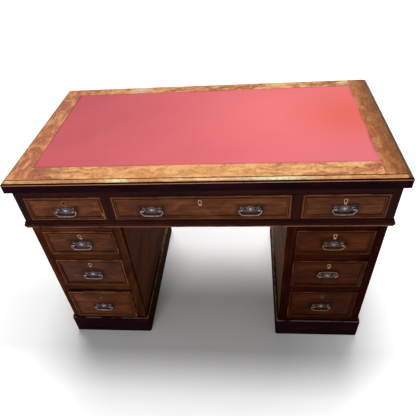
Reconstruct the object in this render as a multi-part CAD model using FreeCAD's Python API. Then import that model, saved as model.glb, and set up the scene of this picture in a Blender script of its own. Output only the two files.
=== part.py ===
import FreeCAD, Part
import math
import os

# A twin-pedestal writing desk: a leather-topped frieze unit with three drawers
# that stands on two pedestals of three graduated drawers each.
# Millimetres. X runs to the sitter's right, -Y towards the sitter, Z up from the floor.

Vector = FreeCAD.Vector
X_AXIS, Y_AXIS, Z_AXIS = Vector(1, 0, 0), Vector(0, 1, 0), Vector(0, 0, 1)

# Whole desk
DESK_WIDTH = 1220.0
DESK_DEPTH = 690.0
DESK_HEIGHT = 775.0

# Top
TOP_THICKNESS = 39.0
TOP_BOARD_THICKNESS = 20.0
BORDER_THICKNESS = 3.0
LEATHER_THICKNESS = 2.4
LEATHER_MARGIN_SIDE = 78.0
LEATHER_MARGIN_FRONT = 81.0
LEATHER_MARGIN_BACK = 69.0
LINING_WIDTH = 60.0

# Edge moulding of the top, from the surface down: quirk, ovolo, step, bead, fascia
EDGE_WIDTH = 16.5
EDGE_QUIRK = 1.6
EDGE_OVOLO_WIDTH = 13.0
EDGE_OVOLO_DROP = 6.4
EDGE_STEP = 1.2
EDGE_BEAD_RADIUS = 2.0
EDGE_FASCIA_SETBACK = 1.0

# Frieze unit
FRIEZE_INSET_SIDE = 15.0
FRIEZE_INSET_FRONT = 18.0
FRIEZE_INSET_BACK = 15.0
FRIEZE_BOTTOM_RAIL = 31.0
FRIEZE_OPENING_HEIGHT = 90.0
FRIEZE_TOP_RAIL = 30.0
FRIEZE_STILE = 27.0
FRIEZE_MUNTIN = 31.0
FRIEZE_SIDE_DRAWER = 256.0
FRIEZE_BOARD = 20.0
FRIEZE_PARTITION = 18.0

# Waist moulding below the frieze drawers, from its underside up: fillet, torus, fillet, cove
WAIST_PROUD = 7.4
WAIST_HEIGHT = 27.0
WAIST_FOOT_SETBACK = 3.0
WAIST_FOOT_HEIGHT = 4.0
WAIST_TORUS_HEIGHT = 14.0
WAIST_COVE_RADIUS = 4.0

# Pedestals
PEDESTAL_WIDTH = 310.0
PEDESTAL_INSET_SIDE = 8.6
PEDESTAL_INSET_FRONT = 2.0
PEDESTAL_INSET_BACK = 2.0
PEDESTAL_SIDE_BOARD = 18.0
PEDESTAL_BACK_BOARD = 10.0
PEDESTAL_LEVEL_BOARD = 12.0
PEDESTAL_STILE = 29.5
PEDESTAL_TOP_RAIL = 21.0
PEDESTAL_RAIL = 30.0
PEDESTAL_BOTTOM_RAIL = 19.0
GRADUATION_SHARES = (0.274, 0.340, 0.386)

# Front frames
FRAME_THICKNESS = 22.0
RAIL_DEPTH = 60.0

# Plinth
PLINTH_HEIGHT = 91.0
PLINTH_PROUD = 10.4
PLINTH_BOARD = 22.0
PLINTH_ROUND = 8.0
CORNER_BLOCK = 34.0
CORNER_BLOCK_DROP = 6.0

# Runners, guides, kickers and stops inside the cases
RUNNER_WIDTH = 20.0
RUNNER_HEIGHT = 18.0
GUIDE_HEIGHT = 15.0
STOP_WIDTH = 22.0
STOP_LENGTH = 14.0
STOP_HEIGHT = 5.0
STOP_PLACE_SHARE = 0.28

# Clearances
FRONT_GAP = 1.0
RUNNING_GAP = 0.3
PIN_CLEARANCE = 0.05
SHANK_CLEARANCE = 0.3

# Drawers
DRAWER_REAR_GAP = 37.0
DRAWER_FRONT_BOARD = 20.0
DRAWER_SIDE_BOARD = 10.0
DRAWER_SIDE_DROP = 6.0
DRAWER_BACK_BOARD = 10.0
DRAWER_BACK_DROP = 6.0
DRAWER_BOTTOM_PANEL = 6.0
DRAWER_BOTTOM_RISE = 8.0
GROOVE_DEPTH = 4.0
LEFT_BOTTOM_PULLED_OUT = 14.0

# Dovetails between the drawer sides and the front
TAIL_LENGTH = 13.0
TAIL_PITCH = 44.0
TAIL_TIP_SHARE = 0.70
TAIL_ROOT_SHARE = 0.54

# Applied moulding on the drawer fronts, from its outer edge in: rounded band, groove, bead
FRONT_MOULDING_WIDTH = 12.0
FRONT_MOULDING_PROUD = 3.2
FRONT_MOULDING_ROUND = 1.8
FRONT_BEAD_RADIUS = 1.6
FRONT_BEAD_RISE = 1.0

# Handles
HANDLE_SHARE_FRIEZE = 0.44
HANDLE_SHARE_PEDESTAL = 0.465
CENTRE_HANDLE_SPACING_SHARE = 0.553
PLATE_WIDTH = 69.0
PLATE_HEIGHT = 29.0
PLATE_THICKNESS = 1.6
PLATE_UPPER_SHARE = 0.45
PLATE_CAP_SHARES = ((0.0, 0.82), (0.15, 0.78), (0.27, 0.60))
PLATE_DIP_SHARES = ((0.50, 0.42), (0.74, 0.68))
PLATE_WING_SHARES = ((0.90, 1.0), (0.86, 0.42), (1.0, 0.22), (0.88, -0.26))
PLATE_SMILE_SHARES = ((0.52, -0.80), (0.0, -1.0))
PLATE_HOLE_RADIUS = 3.0
PLATE_HOLE_PLACE_SHARE = 0.47
BOSS_RADIUS = 8.5
BOSS_RISE = 6.0
BOSS_COLLAR_RADIUS = 10.5
BOSS_COLLAR_RISE = 1.2
POST_SPACING = 54.0
POST_FOOT_RADIUS = 4.4
POST_HEAD_RADIUS = 4.0
POST_HEAD_SHARES = ((-0.85, 0.60), (-0.45, 1.0), (0.45, 1.0), (1.0, 0.5))
PIVOT_PROUD = 9.0
SHANK_RADIUS = 2.0
SHANK_SHOW = 4.5

# Bails
BAIL_RADIUS = 2.0
BAIL_PIN_RADIUS = 1.4
BAIL_PIN_LENGTH = 7.0
BAIL_SHOULDER_WIDTH = 71.0
BAIL_BAR_WIDTH = 50.0
BAIL_SHOULDER_DROP = 6.0
BAIL_CORNER_DROP = 18.5
BAIL_BAR_DROP = 20.0
BAIL_BEND_RADIUS = 3.0
RIGHT_MIDDLE_BAIL_RAISED_DEG = 190.0

# Locks
LOCK_WIDTH = 44.0
LOCK_HEIGHT = 40.0
LOCK_DEPTH = 12.0
KEYHOLE_DROP = 23.0
KEYHOLE_RADIUS = 2.8
KEYHOLE_NECK_DEG = 50.0
KEYHOLE_SLOT = 2.6
KEYHOLE_LENGTH = 9.0
ESCUTCHEON_RADIUS = 7.0
ESCUTCHEON_FOOT = 9.0
ESCUTCHEON_LENGTH = 16.0
ESCUTCHEON_DEPTH = 4.0

# Fineness of the metalwork and the small mouldings, in straight facets
BOSS_SIDES = 8
POST_SIDES = 6
HOLE_SIDES = 6
WIRE_SIDES = 6
DOME_STEPS = 2
CURVE_STEPS = 3
CAP_STEPS = 2
KEYHOLE_STEPS = 4
MOULDING_STEPS = 3
EDGE_STEPS = 4
BEND_FACET_DEG = 45.0

# Overrun of every cutting tool past the face that it cuts
OVERRUN = 5.0

# Places worked out from the sizes above
pedestal_front_inset = FRIEZE_INSET_FRONT + PEDESTAL_INSET_FRONT
forward_reach = max(0.0, LEFT_BOTTOM_PULLED_OUT + PIVOT_PROUD + POST_HEAD_RADIUS - pedestal_front_inset)
top_front = -(DESK_DEPTH - forward_reach) / 2
top_back = top_front + DESK_DEPTH
top_underside = DESK_HEIGHT - TOP_THICKNESS
frieze_bottom = top_underside - FRIEZE_TOP_RAIL - FRIEZE_OPENING_HEIGHT - FRIEZE_BOTTOM_RAIL
frieze_half = DESK_WIDTH / 2 - FRIEZE_INSET_SIDE
frieze_front = top_front + FRIEZE_INSET_FRONT
frieze_back = top_back - FRIEZE_INSET_BACK
pedestal_outer = frieze_half - PEDESTAL_INSET_SIDE
pedestal_inner = pedestal_outer - PEDESTAL_WIDTH
pedestal_front = frieze_front + PEDESTAL_INSET_FRONT
pedestal_back = frieze_back - PEDESTAL_INSET_BACK


# Shapes

def board(x, y, z):
    """A square-edged board between two places on each axis"""
    corner = Vector(min(x), min(y), min(z))
    return Part.makeBox(abs(x[1] - x[0]), abs(y[1] - y[0]), abs(z[1] - z[0]), corner)


def rounding(start, end, corner):
    """The middle of the arc from start to end that rounds off a square corner"""
    share = math.sqrt(2) - 1
    return tuple((a + b) / 2 + share * (c - (a + b) / 2) for a, b, c in zip(start, end, corner))


def arc_points(start, middle, end, steps):
    """Points on the arc through three points, the first one left out"""
    arc = Part.Arc(Vector(*start, 0), Vector(*middle, 0), Vector(*end, 0)).toShape()
    return [(p.x, p.y) for p in arc.discretize(steps + 1)[1:]]


def profile(facets, start, *steps):
    """A closed face across X: a step is the end of a line, or the middle and the end of an arc
    that is drawn in as many straight facets"""
    places = [start]
    for step in steps:
        is_arc = isinstance(step[0], tuple)
        places += arc_points(places[-1], *step, facets) if is_arc else [step]
    points = [Vector(0, *place) for place in places + [start]]
    return Part.Face(Part.makePolygon(points))


def mitre_wedge(face, at_start, run):
    """What a mitre saws off the start or the end of a moulding drawn along X"""
    bounds = face.BoundBox
    reach = bounds.YMax + OVERRUN
    low = bounds.ZMin - OVERRUN
    corners = [(-OVERRUN, -OVERRUN), (reach, reach), (-OVERRUN, reach)]
    if not at_start:
        corners = [(run - x, y) for x, y in corners]
    points = [Vector(x, y, low) for x, y in corners]
    wedge = Part.Face(Part.makePolygon(points + points[:1]))
    return wedge.extrude(Z_AXIS * (bounds.ZLength + 2 * OVERRUN))


def mouldings(face, corners, normal, closed=True):
    """Mitred lengths of a profile round the corners, anticlockwise seen against the normal"""
    count = len(corners) if closed else len(corners) - 1
    lengths = []
    for index in range(count):
        start = corners[index]
        step = corners[(index + 1) % len(corners)] - start
        run = step.Length
        along = step / run
        inward = normal.cross(along)
        length = face.extrude(X_AXIS * run)
        if closed or index > 0:
            length = length.cut(mitre_wedge(face, True, run))
        if closed or index < count - 1:
            length = length.cut(mitre_wedge(face, False, run))
        length = length.removeSplitter()
        length.Placement = FreeCAD.Placement(FreeCAD.Matrix(
            along.x, inward.x, normal.x, start.x,
            along.y, inward.y, normal.y, start.y,
            along.z, inward.z, normal.z, start.z))
        lengths.append(length)
    return lengths


def solid_of(faces):
    """A solid from flat faces given by their corners"""
    return Part.Solid(Part.Shell([Part.Face(Part.makePolygon(face + face[:1])) for face in faces]))


def skin(rings):
    """A solid over rings of as many points each, closed flat at both ends"""
    count = len(rings[0])
    faces = [rings[0][::-1], rings[-1]]
    for low, high in zip(rings, rings[1:]):
        for index in range(count):
            after = (index + 1) % count
            faces.append([low[index], low[after], high[after], high[index]])
    return solid_of(faces)


def ring(centre, across, up, radius, sides):
    """Corners of a regular ring in the plane of two directions, with flats facing across"""
    turns = [math.radians(360) * (index + 0.5) / sides for index in range(sides)]
    return [centre + across * (radius * math.cos(t)) + up * (radius * math.sin(t)) for t in turns]


def turned(x, z, stations, sides):
    """A turned piece about a line along Y at x, z: stations are pairs of y and radius"""
    return skin([ring(Vector(x, y, z), X_AXIS, Z_AXIS, radius, sides) for y, radius in stations])


def plate_of(points, x, z, y, thickness):
    """A flat piece facing -Y whose outline is given about x, z and whose face lies at y"""
    corners = [Vector(x + u, y, z + w) for u, w in points]
    return Part.Face(Part.makePolygon(corners + corners[:1])).extrude(Y_AXIS * thickness)


def write(node, solids):
    """One file for each named node"""
    shape = solids[0] if len(solids) == 1 else Part.makeCompound(solids)
    shape.exportStep("parts/" + node + ".step")
    print(node, len(solids), "solids")


# Top

def top_board():
    """The ground board and the lining strips under its edges"""
    half = DESK_WIDTH / 2 - EDGE_WIDTH
    front, back = top_front + EDGE_WIDTH, top_back - EDGE_WIDTH
    upper = DESK_HEIGHT - BORDER_THICKNESS
    lower = upper - TOP_BOARD_THICKNESS
    inner = half - LINING_WIDTH
    lining = (top_underside, lower)
    return [board((-half, half), (front, back), (lower, upper)),
            board((-half, -inner), (front, back), lining),
            board((inner, half), (front, back), lining),
            board((-inner, inner), (front, front + LINING_WIDTH), lining),
            board((-inner, inner), (back - LINING_WIDTH, back), lining)]


def top_border():
    """Side boards over the full depth, with the front and back boards butted between them"""
    half = DESK_WIDTH / 2 - EDGE_WIDTH
    inner = DESK_WIDTH / 2 - LEATHER_MARGIN_SIDE
    front, back = top_front + EDGE_WIDTH, top_back - EDGE_WIDTH
    level = (DESK_HEIGHT - BORDER_THICKNESS, DESK_HEIGHT)
    return [board((-half, -inner), (front, back), level),
            board((inner, half), (front, back), level),
            board((-inner, inner), (front, top_front + LEATHER_MARGIN_FRONT), level),
            board((-inner, inner), (top_back - LEATHER_MARGIN_BACK, back), level)]


def leather_inset():
    """The leather, a little below the border"""
    inner = DESK_WIDTH / 2 - LEATHER_MARGIN_SIDE
    lower = DESK_HEIGHT - BORDER_THICKNESS
    return [board((-inner, inner), (top_front + LEATHER_MARGIN_FRONT, top_back - LEATHER_MARGIN_BACK),
                  (lower, lower + LEATHER_THICKNESS))]


def top_edge_moulding():
    """Quirk, ovolo, bead and deep fascia round the top"""
    ovolo_start = (EDGE_WIDTH, -EDGE_QUIRK)
    ovolo_end = (EDGE_WIDTH - EDGE_OVOLO_WIDTH, -EDGE_QUIRK - EDGE_OVOLO_DROP)
    bead_top = ovolo_end[1] - EDGE_STEP
    bead_bottom = bead_top - 2 * EDGE_BEAD_RADIUS
    face = profile(
        EDGE_STEPS, ovolo_start,
        (rounding(ovolo_start, ovolo_end, (ovolo_end[0], ovolo_start[1])), ovolo_end),
        (ovolo_end[0], bead_top),
        (EDGE_BEAD_RADIUS, bead_top),
        ((0.0, bead_top - EDGE_BEAD_RADIUS), (EDGE_BEAD_RADIUS, bead_bottom)),
        (EDGE_FASCIA_SETBACK, bead_bottom),
        (EDGE_FASCIA_SETBACK, -TOP_THICKNESS),
        (EDGE_WIDTH, -TOP_THICKNESS))
    half = DESK_WIDTH / 2
    corners = [Vector(-half, top_front, DESK_HEIGHT), Vector(half, top_front, DESK_HEIGHT),
               Vector(half, top_back, DESK_HEIGHT), Vector(-half, top_back, DESK_HEIGHT)]
    return mouldings(face, corners, Z_AXIS)


# Drawer openings

class Bay:
    """An opening in the front with the drawer that fills it"""

    def __init__(self, name, x, z, face, case, back, handle_share):
        self.name = name
        self.left, self.right = x
        self.bottom, self.top = z
        self.face = face
        self.case_left, self.case_right = case
        self.back = back
        self.middle = (self.left + self.right) / 2
        self.handle_height = self.bottom + handle_share * (self.top - self.bottom)
        self.handles = [("", self.middle)]
        self.pulled_out = 0.0
        self.raised_deg = 0.0


def frieze_bays():
    """The three openings of the frieze, left to right"""
    level = (frieze_bottom + FRIEZE_BOTTOM_RAIL, top_underside - FRIEZE_TOP_RAIL)
    outer = frieze_half - FRIEZE_STILE
    inner = outer - FRIEZE_SIDE_DRAWER
    centre = inner - FRIEZE_MUNTIN
    end_face = frieze_half - FRIEZE_BOARD
    partition = inner - FRIEZE_MUNTIN / 2
    far_side, near_side = partition + FRIEZE_PARTITION / 2, partition - FRIEZE_PARTITION / 2
    back = frieze_back - FRIEZE_BOARD
    layout = (("frieze_left", (-outer, -inner), (-end_face, -far_side)),
              ("frieze_centre", (-centre, centre), (-near_side, near_side)),
              ("frieze_right", (inner, outer), (far_side, end_face)))
    bays = [Bay(name, x, level, frieze_front, case, back, HANDLE_SHARE_FRIEZE)
            for name, x, case in layout]
    offset = CENTRE_HANDLE_SPACING_SHARE * centre
    bays[1].handles = [("_left", -offset), ("_right", offset)]
    return bays


def pedestal_bays(side, name):
    """The three openings of a pedestal, top to bottom; side is -1 for the left one"""
    rails = PEDESTAL_TOP_RAIL + 2 * PEDESTAL_RAIL + PEDESTAL_BOTTOM_RAIL
    free = frieze_bottom - PLINTH_HEIGHT - rails
    x = sorted((side * (pedestal_inner + PEDESTAL_STILE), side * (pedestal_outer - PEDESTAL_STILE)))
    case = sorted((side * (pedestal_inner + PEDESTAL_SIDE_BOARD),
                   side * (pedestal_outer - PEDESTAL_SIDE_BOARD)))
    back = pedestal_back - PEDESTAL_BACK_BOARD
    bays = []
    upper = frieze_bottom - PEDESTAL_TOP_RAIL
    for place, share in zip(("top", "middle", "bottom"), GRADUATION_SHARES):
        lower = upper - free * share / sum(GRADUATION_SHARES)
        bays.append(Bay(name + "_" + place, x, (lower, upper), pedestal_front, case, back,
                        HANDLE_SHARE_PEDESTAL))
        upper = lower - PEDESTAL_RAIL
    return bays


# Frieze unit

def frieze_front_frame(bays):
    """Stiles, muntins and rails round the three drawers"""
    depth = (frieze_front, frieze_front + RAIL_DEPTH)
    stile_depth = (frieze_front, frieze_front + FRAME_THICKNESS)
    height = (frieze_bottom, top_underside)
    ends = [(-frieze_half, bays[0].left), (bays[-1].right, frieze_half)]
    pieces = [board(x, stile_depth, height) for x in ends]
    span = (bays[0].left, bays[-1].right)
    pieces.append(board(span, depth, (bays[0].top, top_underside)))
    pieces.append(board(span, depth, (frieze_bottom, bays[0].bottom)))
    for left, right in zip(bays, bays[1:]):
        pieces.append(board((left.right, right.left), depth, (left.bottom, left.top)))
    return pieces


def frieze_case(bays):
    """End boards, back board and the partitions between the drawers"""
    behind = frieze_front + FRAME_THICKNESS
    height = (frieze_bottom, top_underside)
    inside = frieze_half - FRIEZE_BOARD
    inner_back = frieze_back - FRIEZE_BOARD
    pieces = [board((-frieze_half, -inside), (behind, frieze_back), height),
              board((inside, frieze_half), (behind, frieze_back), height),
              board((-inside, inside), (inner_back, frieze_back), height)]
    partition_depth = (frieze_front + RAIL_DEPTH, inner_back)
    for left, right in zip(bays, bays[1:]):
        pieces.append(board((left.case_right, right.case_left), partition_depth, height))
    return pieces


def waist_moulding():
    """Fillet, torus and cove along the front, returned along both ends"""
    torus_start = (WAIST_FOOT_SETBACK, WAIST_FOOT_HEIGHT)
    torus_end = (WAIST_FOOT_SETBACK, WAIST_FOOT_HEIGHT + WAIST_TORUS_HEIGHT)
    torus_middle = (0.0, WAIST_FOOT_HEIGHT + WAIST_TORUS_HEIGHT / 2)
    cove_start = (WAIST_PROUD - WAIST_COVE_RADIUS, WAIST_HEIGHT - WAIST_COVE_RADIUS)
    cove_end = (WAIST_PROUD, WAIST_HEIGHT)
    neck = (cove_start[0], torus_end[1])
    face = profile(MOULDING_STEPS, (WAIST_PROUD, 0.0), (WAIST_FOOT_SETBACK, 0.0), torus_start,
                   (torus_middle, torus_end), neck, cove_start,
                   (rounding(cove_start, cove_end, (cove_end[0], cove_start[1])), cove_end))
    outer = frieze_half + WAIST_PROUD
    front = frieze_front - WAIST_PROUD
    corners = [Vector(-outer, frieze_back, frieze_bottom), Vector(-outer, front, frieze_bottom),
               Vector(outer, front, frieze_bottom), Vector(outer, frieze_back, frieze_bottom)]
    return mouldings(face, corners, Z_AXIS, closed=False)


# Pedestals

def pedestal_front_frame(side, bays):
    """Two stiles with four rails between them"""
    depth = (pedestal_front, pedestal_front + FRAME_THICKNESS)
    height = (PLINTH_HEIGHT, frieze_bottom)
    opening = (bays[0].left, bays[0].right)
    inner, outer = sorted((side * pedestal_inner, side * pedestal_outer))
    pieces = [board((inner, opening[0]), depth, height), board((opening[1], outer), depth, height)]
    levels = [frieze_bottom] + [place for bay in bays for place in (bay.top, bay.bottom)]
    levels.append(PLINTH_HEIGHT)
    rail_depth = (pedestal_front, pedestal_front + RAIL_DEPTH)
    for upper, lower in zip(levels[::2], levels[1::2]):
        pieces.append(board(opening, rail_depth, (lower, upper)))
    return pieces


def pedestal_case(side):
    """Two sides, a back let in between them, a top board and a bottom board"""
    behind = pedestal_front + FRAME_THICKNESS
    height = (PLINTH_HEIGHT, frieze_bottom)
    faces = sorted((side * (pedestal_inner + PEDESTAL_SIDE_BOARD),
                    side * (pedestal_outer - PEDESTAL_SIDE_BOARD)))
    inner_back = pedestal_back - PEDESTAL_BACK_BOARD
    depth = (pedestal_front + RAIL_DEPTH, inner_back)
    upper = (frieze_bottom - PEDESTAL_LEVEL_BOARD, frieze_bottom)
    lower = (PLINTH_HEIGHT, PLINTH_HEIGHT + PEDESTAL_LEVEL_BOARD)
    outside = sorted((side * pedestal_inner, side * pedestal_outer))
    return [board((outside[0], faces[0]), (behind, pedestal_back), height),
            board((faces[1], outside[1]), (behind, pedestal_back), height),
            board(faces, (inner_back, pedestal_back), height),
            board(faces, depth, upper),
            board(faces, depth, lower)]


def plinth(side):
    """Mitred boards with a rounded top edge, and blocks in the corners"""
    edge_start = (0.0, PLINTH_HEIGHT - PLINTH_ROUND)
    edge_end = (PLINTH_ROUND, PLINTH_HEIGHT)
    face = profile(MOULDING_STEPS, (0.0, 0.0), edge_start,
                   (rounding(edge_start, edge_end, (edge_start[0], edge_end[1])), edge_end),
                   (PLINTH_BOARD, PLINTH_HEIGHT), (PLINTH_BOARD, 0.0))
    left, right = sorted((side * (pedestal_inner - PLINTH_PROUD), side * (pedestal_outer + PLINTH_PROUD)))
    front, back = pedestal_front - PLINTH_PROUD, pedestal_back + PLINTH_PROUD
    corners = [Vector(left, front, 0), Vector(right, front, 0), Vector(right, back, 0), Vector(left, back, 0)]
    pieces = mouldings(face, corners, Z_AXIS)
    left, right = left + PLINTH_BOARD, right - PLINTH_BOARD
    front, back = front + PLINTH_BOARD, back - PLINTH_BOARD
    height = (0.0, PLINTH_HEIGHT - CORNER_BLOCK_DROP)
    for x in ((left, left + CORNER_BLOCK), (right - CORNER_BLOCK, right)):
        for y in ((front, front + CORNER_BLOCK), (back - CORNER_BLOCK, back)):
            pieces.append(board(x, y, height))
    return pieces


# Runners and stops

def runners(bay, runner_height, kicker_height):
    """A runner and a guide on each side, kickers above, and two stops behind the front"""
    pieces = []
    start = bay.face + RAIL_DEPTH
    for wall, opening, way in ((bay.case_left, bay.left, 1), (bay.case_right, bay.right, -1)):
        runner_edge = opening + way * RUNNER_WIDTH
        pieces.append(board((wall, runner_edge), (start, bay.back), (bay.bottom - runner_height, bay.bottom)))
        pieces.append(board((wall, opening), (start, bay.back),
                            (bay.bottom, bay.bottom + GUIDE_HEIGHT)))
        if kicker_height:
            pieces.append(board((wall, runner_edge), (start, bay.back), (bay.top, bay.top + kicker_height)))
    stop_start = bay.face + DRAWER_FRONT_BOARD + RUNNING_GAP
    for way in (-1, 1):
        x = bay.middle + way * STOP_PLACE_SHARE * (bay.right - bay.left)
        pieces.append(board((x - STOP_WIDTH / 2, x + STOP_WIDTH / 2), (stop_start, stop_start + STOP_LENGTH),
                            (bay.bottom, bay.bottom + STOP_HEIGHT)))
    return pieces


# Drawers

def tails(bay, x, root, bottom, top):
    """Dovetails on the front end of a drawer side"""
    count = max(2, round((top - bottom) / TAIL_PITCH))
    pitch = (top - bottom) / count
    tip = root - TAIL_LENGTH
    pieces = []
    for index in range(count):
        z = bottom + (index + 0.5) * pitch
        wide, narrow = pitch * TAIL_TIP_SHARE / 2, pitch * TAIL_ROOT_SHARE / 2
        points = [Vector(x[0], root, z - narrow), Vector(x[0], tip, z - wide),
                  Vector(x[0], tip, z + wide), Vector(x[0], root, z + narrow)]
        face = Part.Face(Part.makePolygon(points + points[:1]))
        pieces.append(face.extrude(X_AXIS * (x[1] - x[0])))
    return pieces


def keyhole(radius, foot, length):
    """Outline of a keyhole about the centre of its round head"""
    turn = math.radians(KEYHOLE_NECK_DEG)
    side = (radius * math.sin(turn), -radius * math.cos(turn))
    head = arc_points((-side[0], side[1]), (0.0, radius), side, KEYHOLE_STEPS)
    return [(-side[0], side[1])] + head + [(foot / 2, -length), (-foot / 2, -length)]


def drawer_parts(bay):
    """Front, box and lock of one drawer, each a list of solids"""
    left, right = bay.left + FRONT_GAP, bay.right - FRONT_GAP
    bottom, top = bay.bottom + FRONT_GAP, bay.top - FRONT_GAP
    face, root, rear = bay.face, bay.face + DRAWER_FRONT_BOARD, bay.back - DRAWER_REAR_GAP
    side_bottom, side_top = bay.bottom + RUNNING_GAP, top - DRAWER_SIDE_DROP
    inside = (left + DRAWER_SIDE_BOARD, right - DRAWER_SIDE_BOARD)
    panel_bottom = side_bottom + DRAWER_BOTTOM_RISE
    panel_top = panel_bottom + DRAWER_BOTTOM_PANEL
    panel = board((inside[0] - GROOVE_DEPTH, inside[1] + GROOVE_DEPTH), (root - GROOVE_DEPTH, rear),
                  (panel_bottom, panel_top))
    back = board(inside, (rear - DRAWER_BACK_BOARD, rear), (panel_top, side_top - DRAWER_BACK_DROP))
    front = board((left, right), (face, root), (bottom, top)).cut(panel)
    sides = []
    for x in ((left, inside[0]), (inside[1], right)):
        joint = tails(bay, x, root, bottom, side_top)
        front = front.cut(Part.makeCompound(joint))
        side = board(x, (root, rear), (side_bottom, side_top)).multiFuse(joint).removeSplitter()
        sides.append(side.cut(panel))
    lock, escutcheon, keyway = lock_parts(bay, root, top)
    front = front.cut(lock_body(bay, root, top)).cut(keyway)
    for _, x in bay.handles:
        for post in (x - POST_SPACING / 2, x + POST_SPACING / 2):
            hole = turned(post, bay.handle_height, [(root + OVERRUN, SHANK_RADIUS + SHANK_CLEARANCE),
                                                    (face - OVERRUN, SHANK_RADIUS + SHANK_CLEARANCE)],
                          POST_SIDES)
            front = front.cut(hole)
    return [front] + front_moulding(left, right, bottom, top, face), sides + [back, panel], [lock, escutcheon]


def lock_body(bay, root, top):
    """The block of the lock, let into the back of the front board from its top edge"""
    return board((bay.middle - LOCK_WIDTH / 2, bay.middle + LOCK_WIDTH / 2), (root - LOCK_DEPTH, root),
                 (top - LOCK_HEIGHT, top))


def lock_parts(bay, root, top):
    """The lock case, the escutcheon, and the keyway and recess for it in the front board"""
    place = (bay.middle, bay.top - KEYHOLE_DROP)
    inner = keyhole(KEYHOLE_RADIUS, KEYHOLE_SLOT, KEYHOLE_LENGTH)
    outer = keyhole(ESCUTCHEON_RADIUS, ESCUTCHEON_FOOT, ESCUTCHEON_LENGTH)
    case_face = root - LOCK_DEPTH
    lock = lock_body(bay, root, top)
    passage = plate_of(inner, *place, bay.face - OVERRUN, case_face - bay.face + OVERRUN)
    rim = plate_of(outer, *place, bay.face, ESCUTCHEON_DEPTH)
    return lock, rim.cut(passage), rim.fuse(passage)


def front_moulding(left, right, bottom, top, face):
    """Mitred lengths round the drawer front: a rounded band and a bead inside it"""
    edge_start = (0.0, FRONT_MOULDING_PROUD - FRONT_MOULDING_ROUND)
    edge_end = (FRONT_MOULDING_ROUND, FRONT_MOULDING_PROUD)
    bead_start = FRONT_MOULDING_WIDTH - 2 * FRONT_BEAD_RADIUS
    bead_top = FRONT_MOULDING_PROUD + FRONT_BEAD_RISE
    section = profile(MOULDING_STEPS, (0.0, 0.0), edge_start,
                      (rounding(edge_start, edge_end, (edge_start[0], edge_end[1])), edge_end),
                      (bead_start, FRONT_MOULDING_PROUD),
                      ((bead_start + FRONT_BEAD_RADIUS, bead_top),
                       (FRONT_MOULDING_WIDTH, FRONT_MOULDING_PROUD)),
                      (FRONT_MOULDING_WIDTH, 0.0))
    corners = [Vector(left, face, bottom), Vector(right, face, bottom),
               Vector(right, face, top), Vector(left, face, top)]
    return mouldings(section, corners, -Y_AXIS)


# Handles

def plate_outline():
    """Bat-wing outline about the boss: a cap on top, a prong above and below each end, a smile below"""
    upper = PLATE_HEIGHT * PLATE_UPPER_SHARE
    lower = PLATE_HEIGHT - upper

    def places(shares):
        return [(PLATE_WIDTH / 2 * along, height * (upper if height > 0 else lower))
                for along, height in shares]

    cap, dip, wing, smile = [places(shares) for shares in (
        PLATE_CAP_SHARES, PLATE_DIP_SHARES, PLATE_WING_SHARES, PLATE_SMILE_SHARES)]
    right = arc_points(*cap, CAP_STEPS) + arc_points(cap[-1], *dip, CURVE_STEPS) + wing
    right += arc_points(wing[-1], *smile, CURVE_STEPS)[:-1]
    left = [(-u, w) for u, w in reversed(right)]
    return cap[:1] + right + smile[-1:] + left


def handle_plate(x, z, face, root):
    """The pierced plate with its boss, and the two posts that hold it and carry the bail"""
    plate_face = face - PLATE_THICKNESS
    collar = plate_face - BOSS_COLLAR_RISE
    dome = []
    for index in range(DOME_STEPS):
        turn = math.radians(90) * index / DOME_STEPS
        dome.append((collar - BOSS_RISE * math.sin(turn), BOSS_RADIUS * math.cos(turn)))
    stations = [(plate_face, BOSS_COLLAR_RADIUS), (collar, BOSS_COLLAR_RADIUS)] + dome
    boss = turned(x, z, stations, BOSS_SIDES)
    plate = plate_of(plate_outline(), x, z, plate_face, PLATE_THICKNESS).fuse(boss)
    posts = []
    for way in (-1, 1):
        post = x + way * POST_SPACING / 2
        pierced = x + way * PLATE_WIDTH / 2 * PLATE_HOLE_PLACE_SHARE
        through = (face + OVERRUN, face - OVERRUN)
        tools = [turned(pierced, z, [(y, PLATE_HOLE_RADIUS) for y in through], HOLE_SIDES),
                 turned(post, z, [(y, SHANK_RADIUS) for y in through], POST_SIDES)]
        plate = plate.cut(Part.makeCompound(tools))
        posts.append(handle_post(post, z, plate_face, face, root))
    return [plate] + posts


def handle_post(x, z, plate_face, face, root):
    """A turned post whose shank passes through the drawer front and shows inside it"""
    pivot = face - PIVOT_PROUD
    stations = [(root + SHANK_SHOW, SHANK_RADIUS), (plate_face, SHANK_RADIUS), (plate_face, POST_FOOT_RADIUS)]
    for place_share, radius_share in POST_HEAD_SHARES:
        stations.append((pivot - POST_HEAD_RADIUS * place_share, POST_HEAD_RADIUS * radius_share))
    eye_radius = (BAIL_PIN_RADIUS + PIN_CLEARANCE) / math.cos(math.radians(180) / HOLE_SIDES)
    reach = POST_HEAD_RADIUS + OVERRUN
    eye = skin([ring(Vector(x + way * reach, pivot, z), Z_AXIS, Y_AXIS, eye_radius, HOLE_SIDES)
                for way in (-1, 1)])
    return turned(x, z, stations, POST_SIDES).cut(eye)


def rounded_path(points, radius):
    """Points along a line in X and Z whose corners are rounded by arcs in straight steps"""
    path = [points[0]]
    for before, corner, after in zip(points, points[1:], points[2:]):
        back, ahead = (before - corner).normalize(), (after - corner).normalize()
        half_angle = math.acos(max(-1.0, min(1.0, back.dot(ahead)))) / 2
        offset = radius / math.tan(half_angle)
        inward = (back + ahead).normalize()
        middle = corner + inward * (radius / math.sin(half_angle) - radius)
        arc = Part.Arc(corner + back * offset, middle, corner + ahead * offset).toShape()
        turn = 180.0 - 2 * math.degrees(half_angle)
        path += arc.discretize(max(1, round(turn / BEND_FACET_DEG)) + 1)
    return path + [points[-1]]


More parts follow.
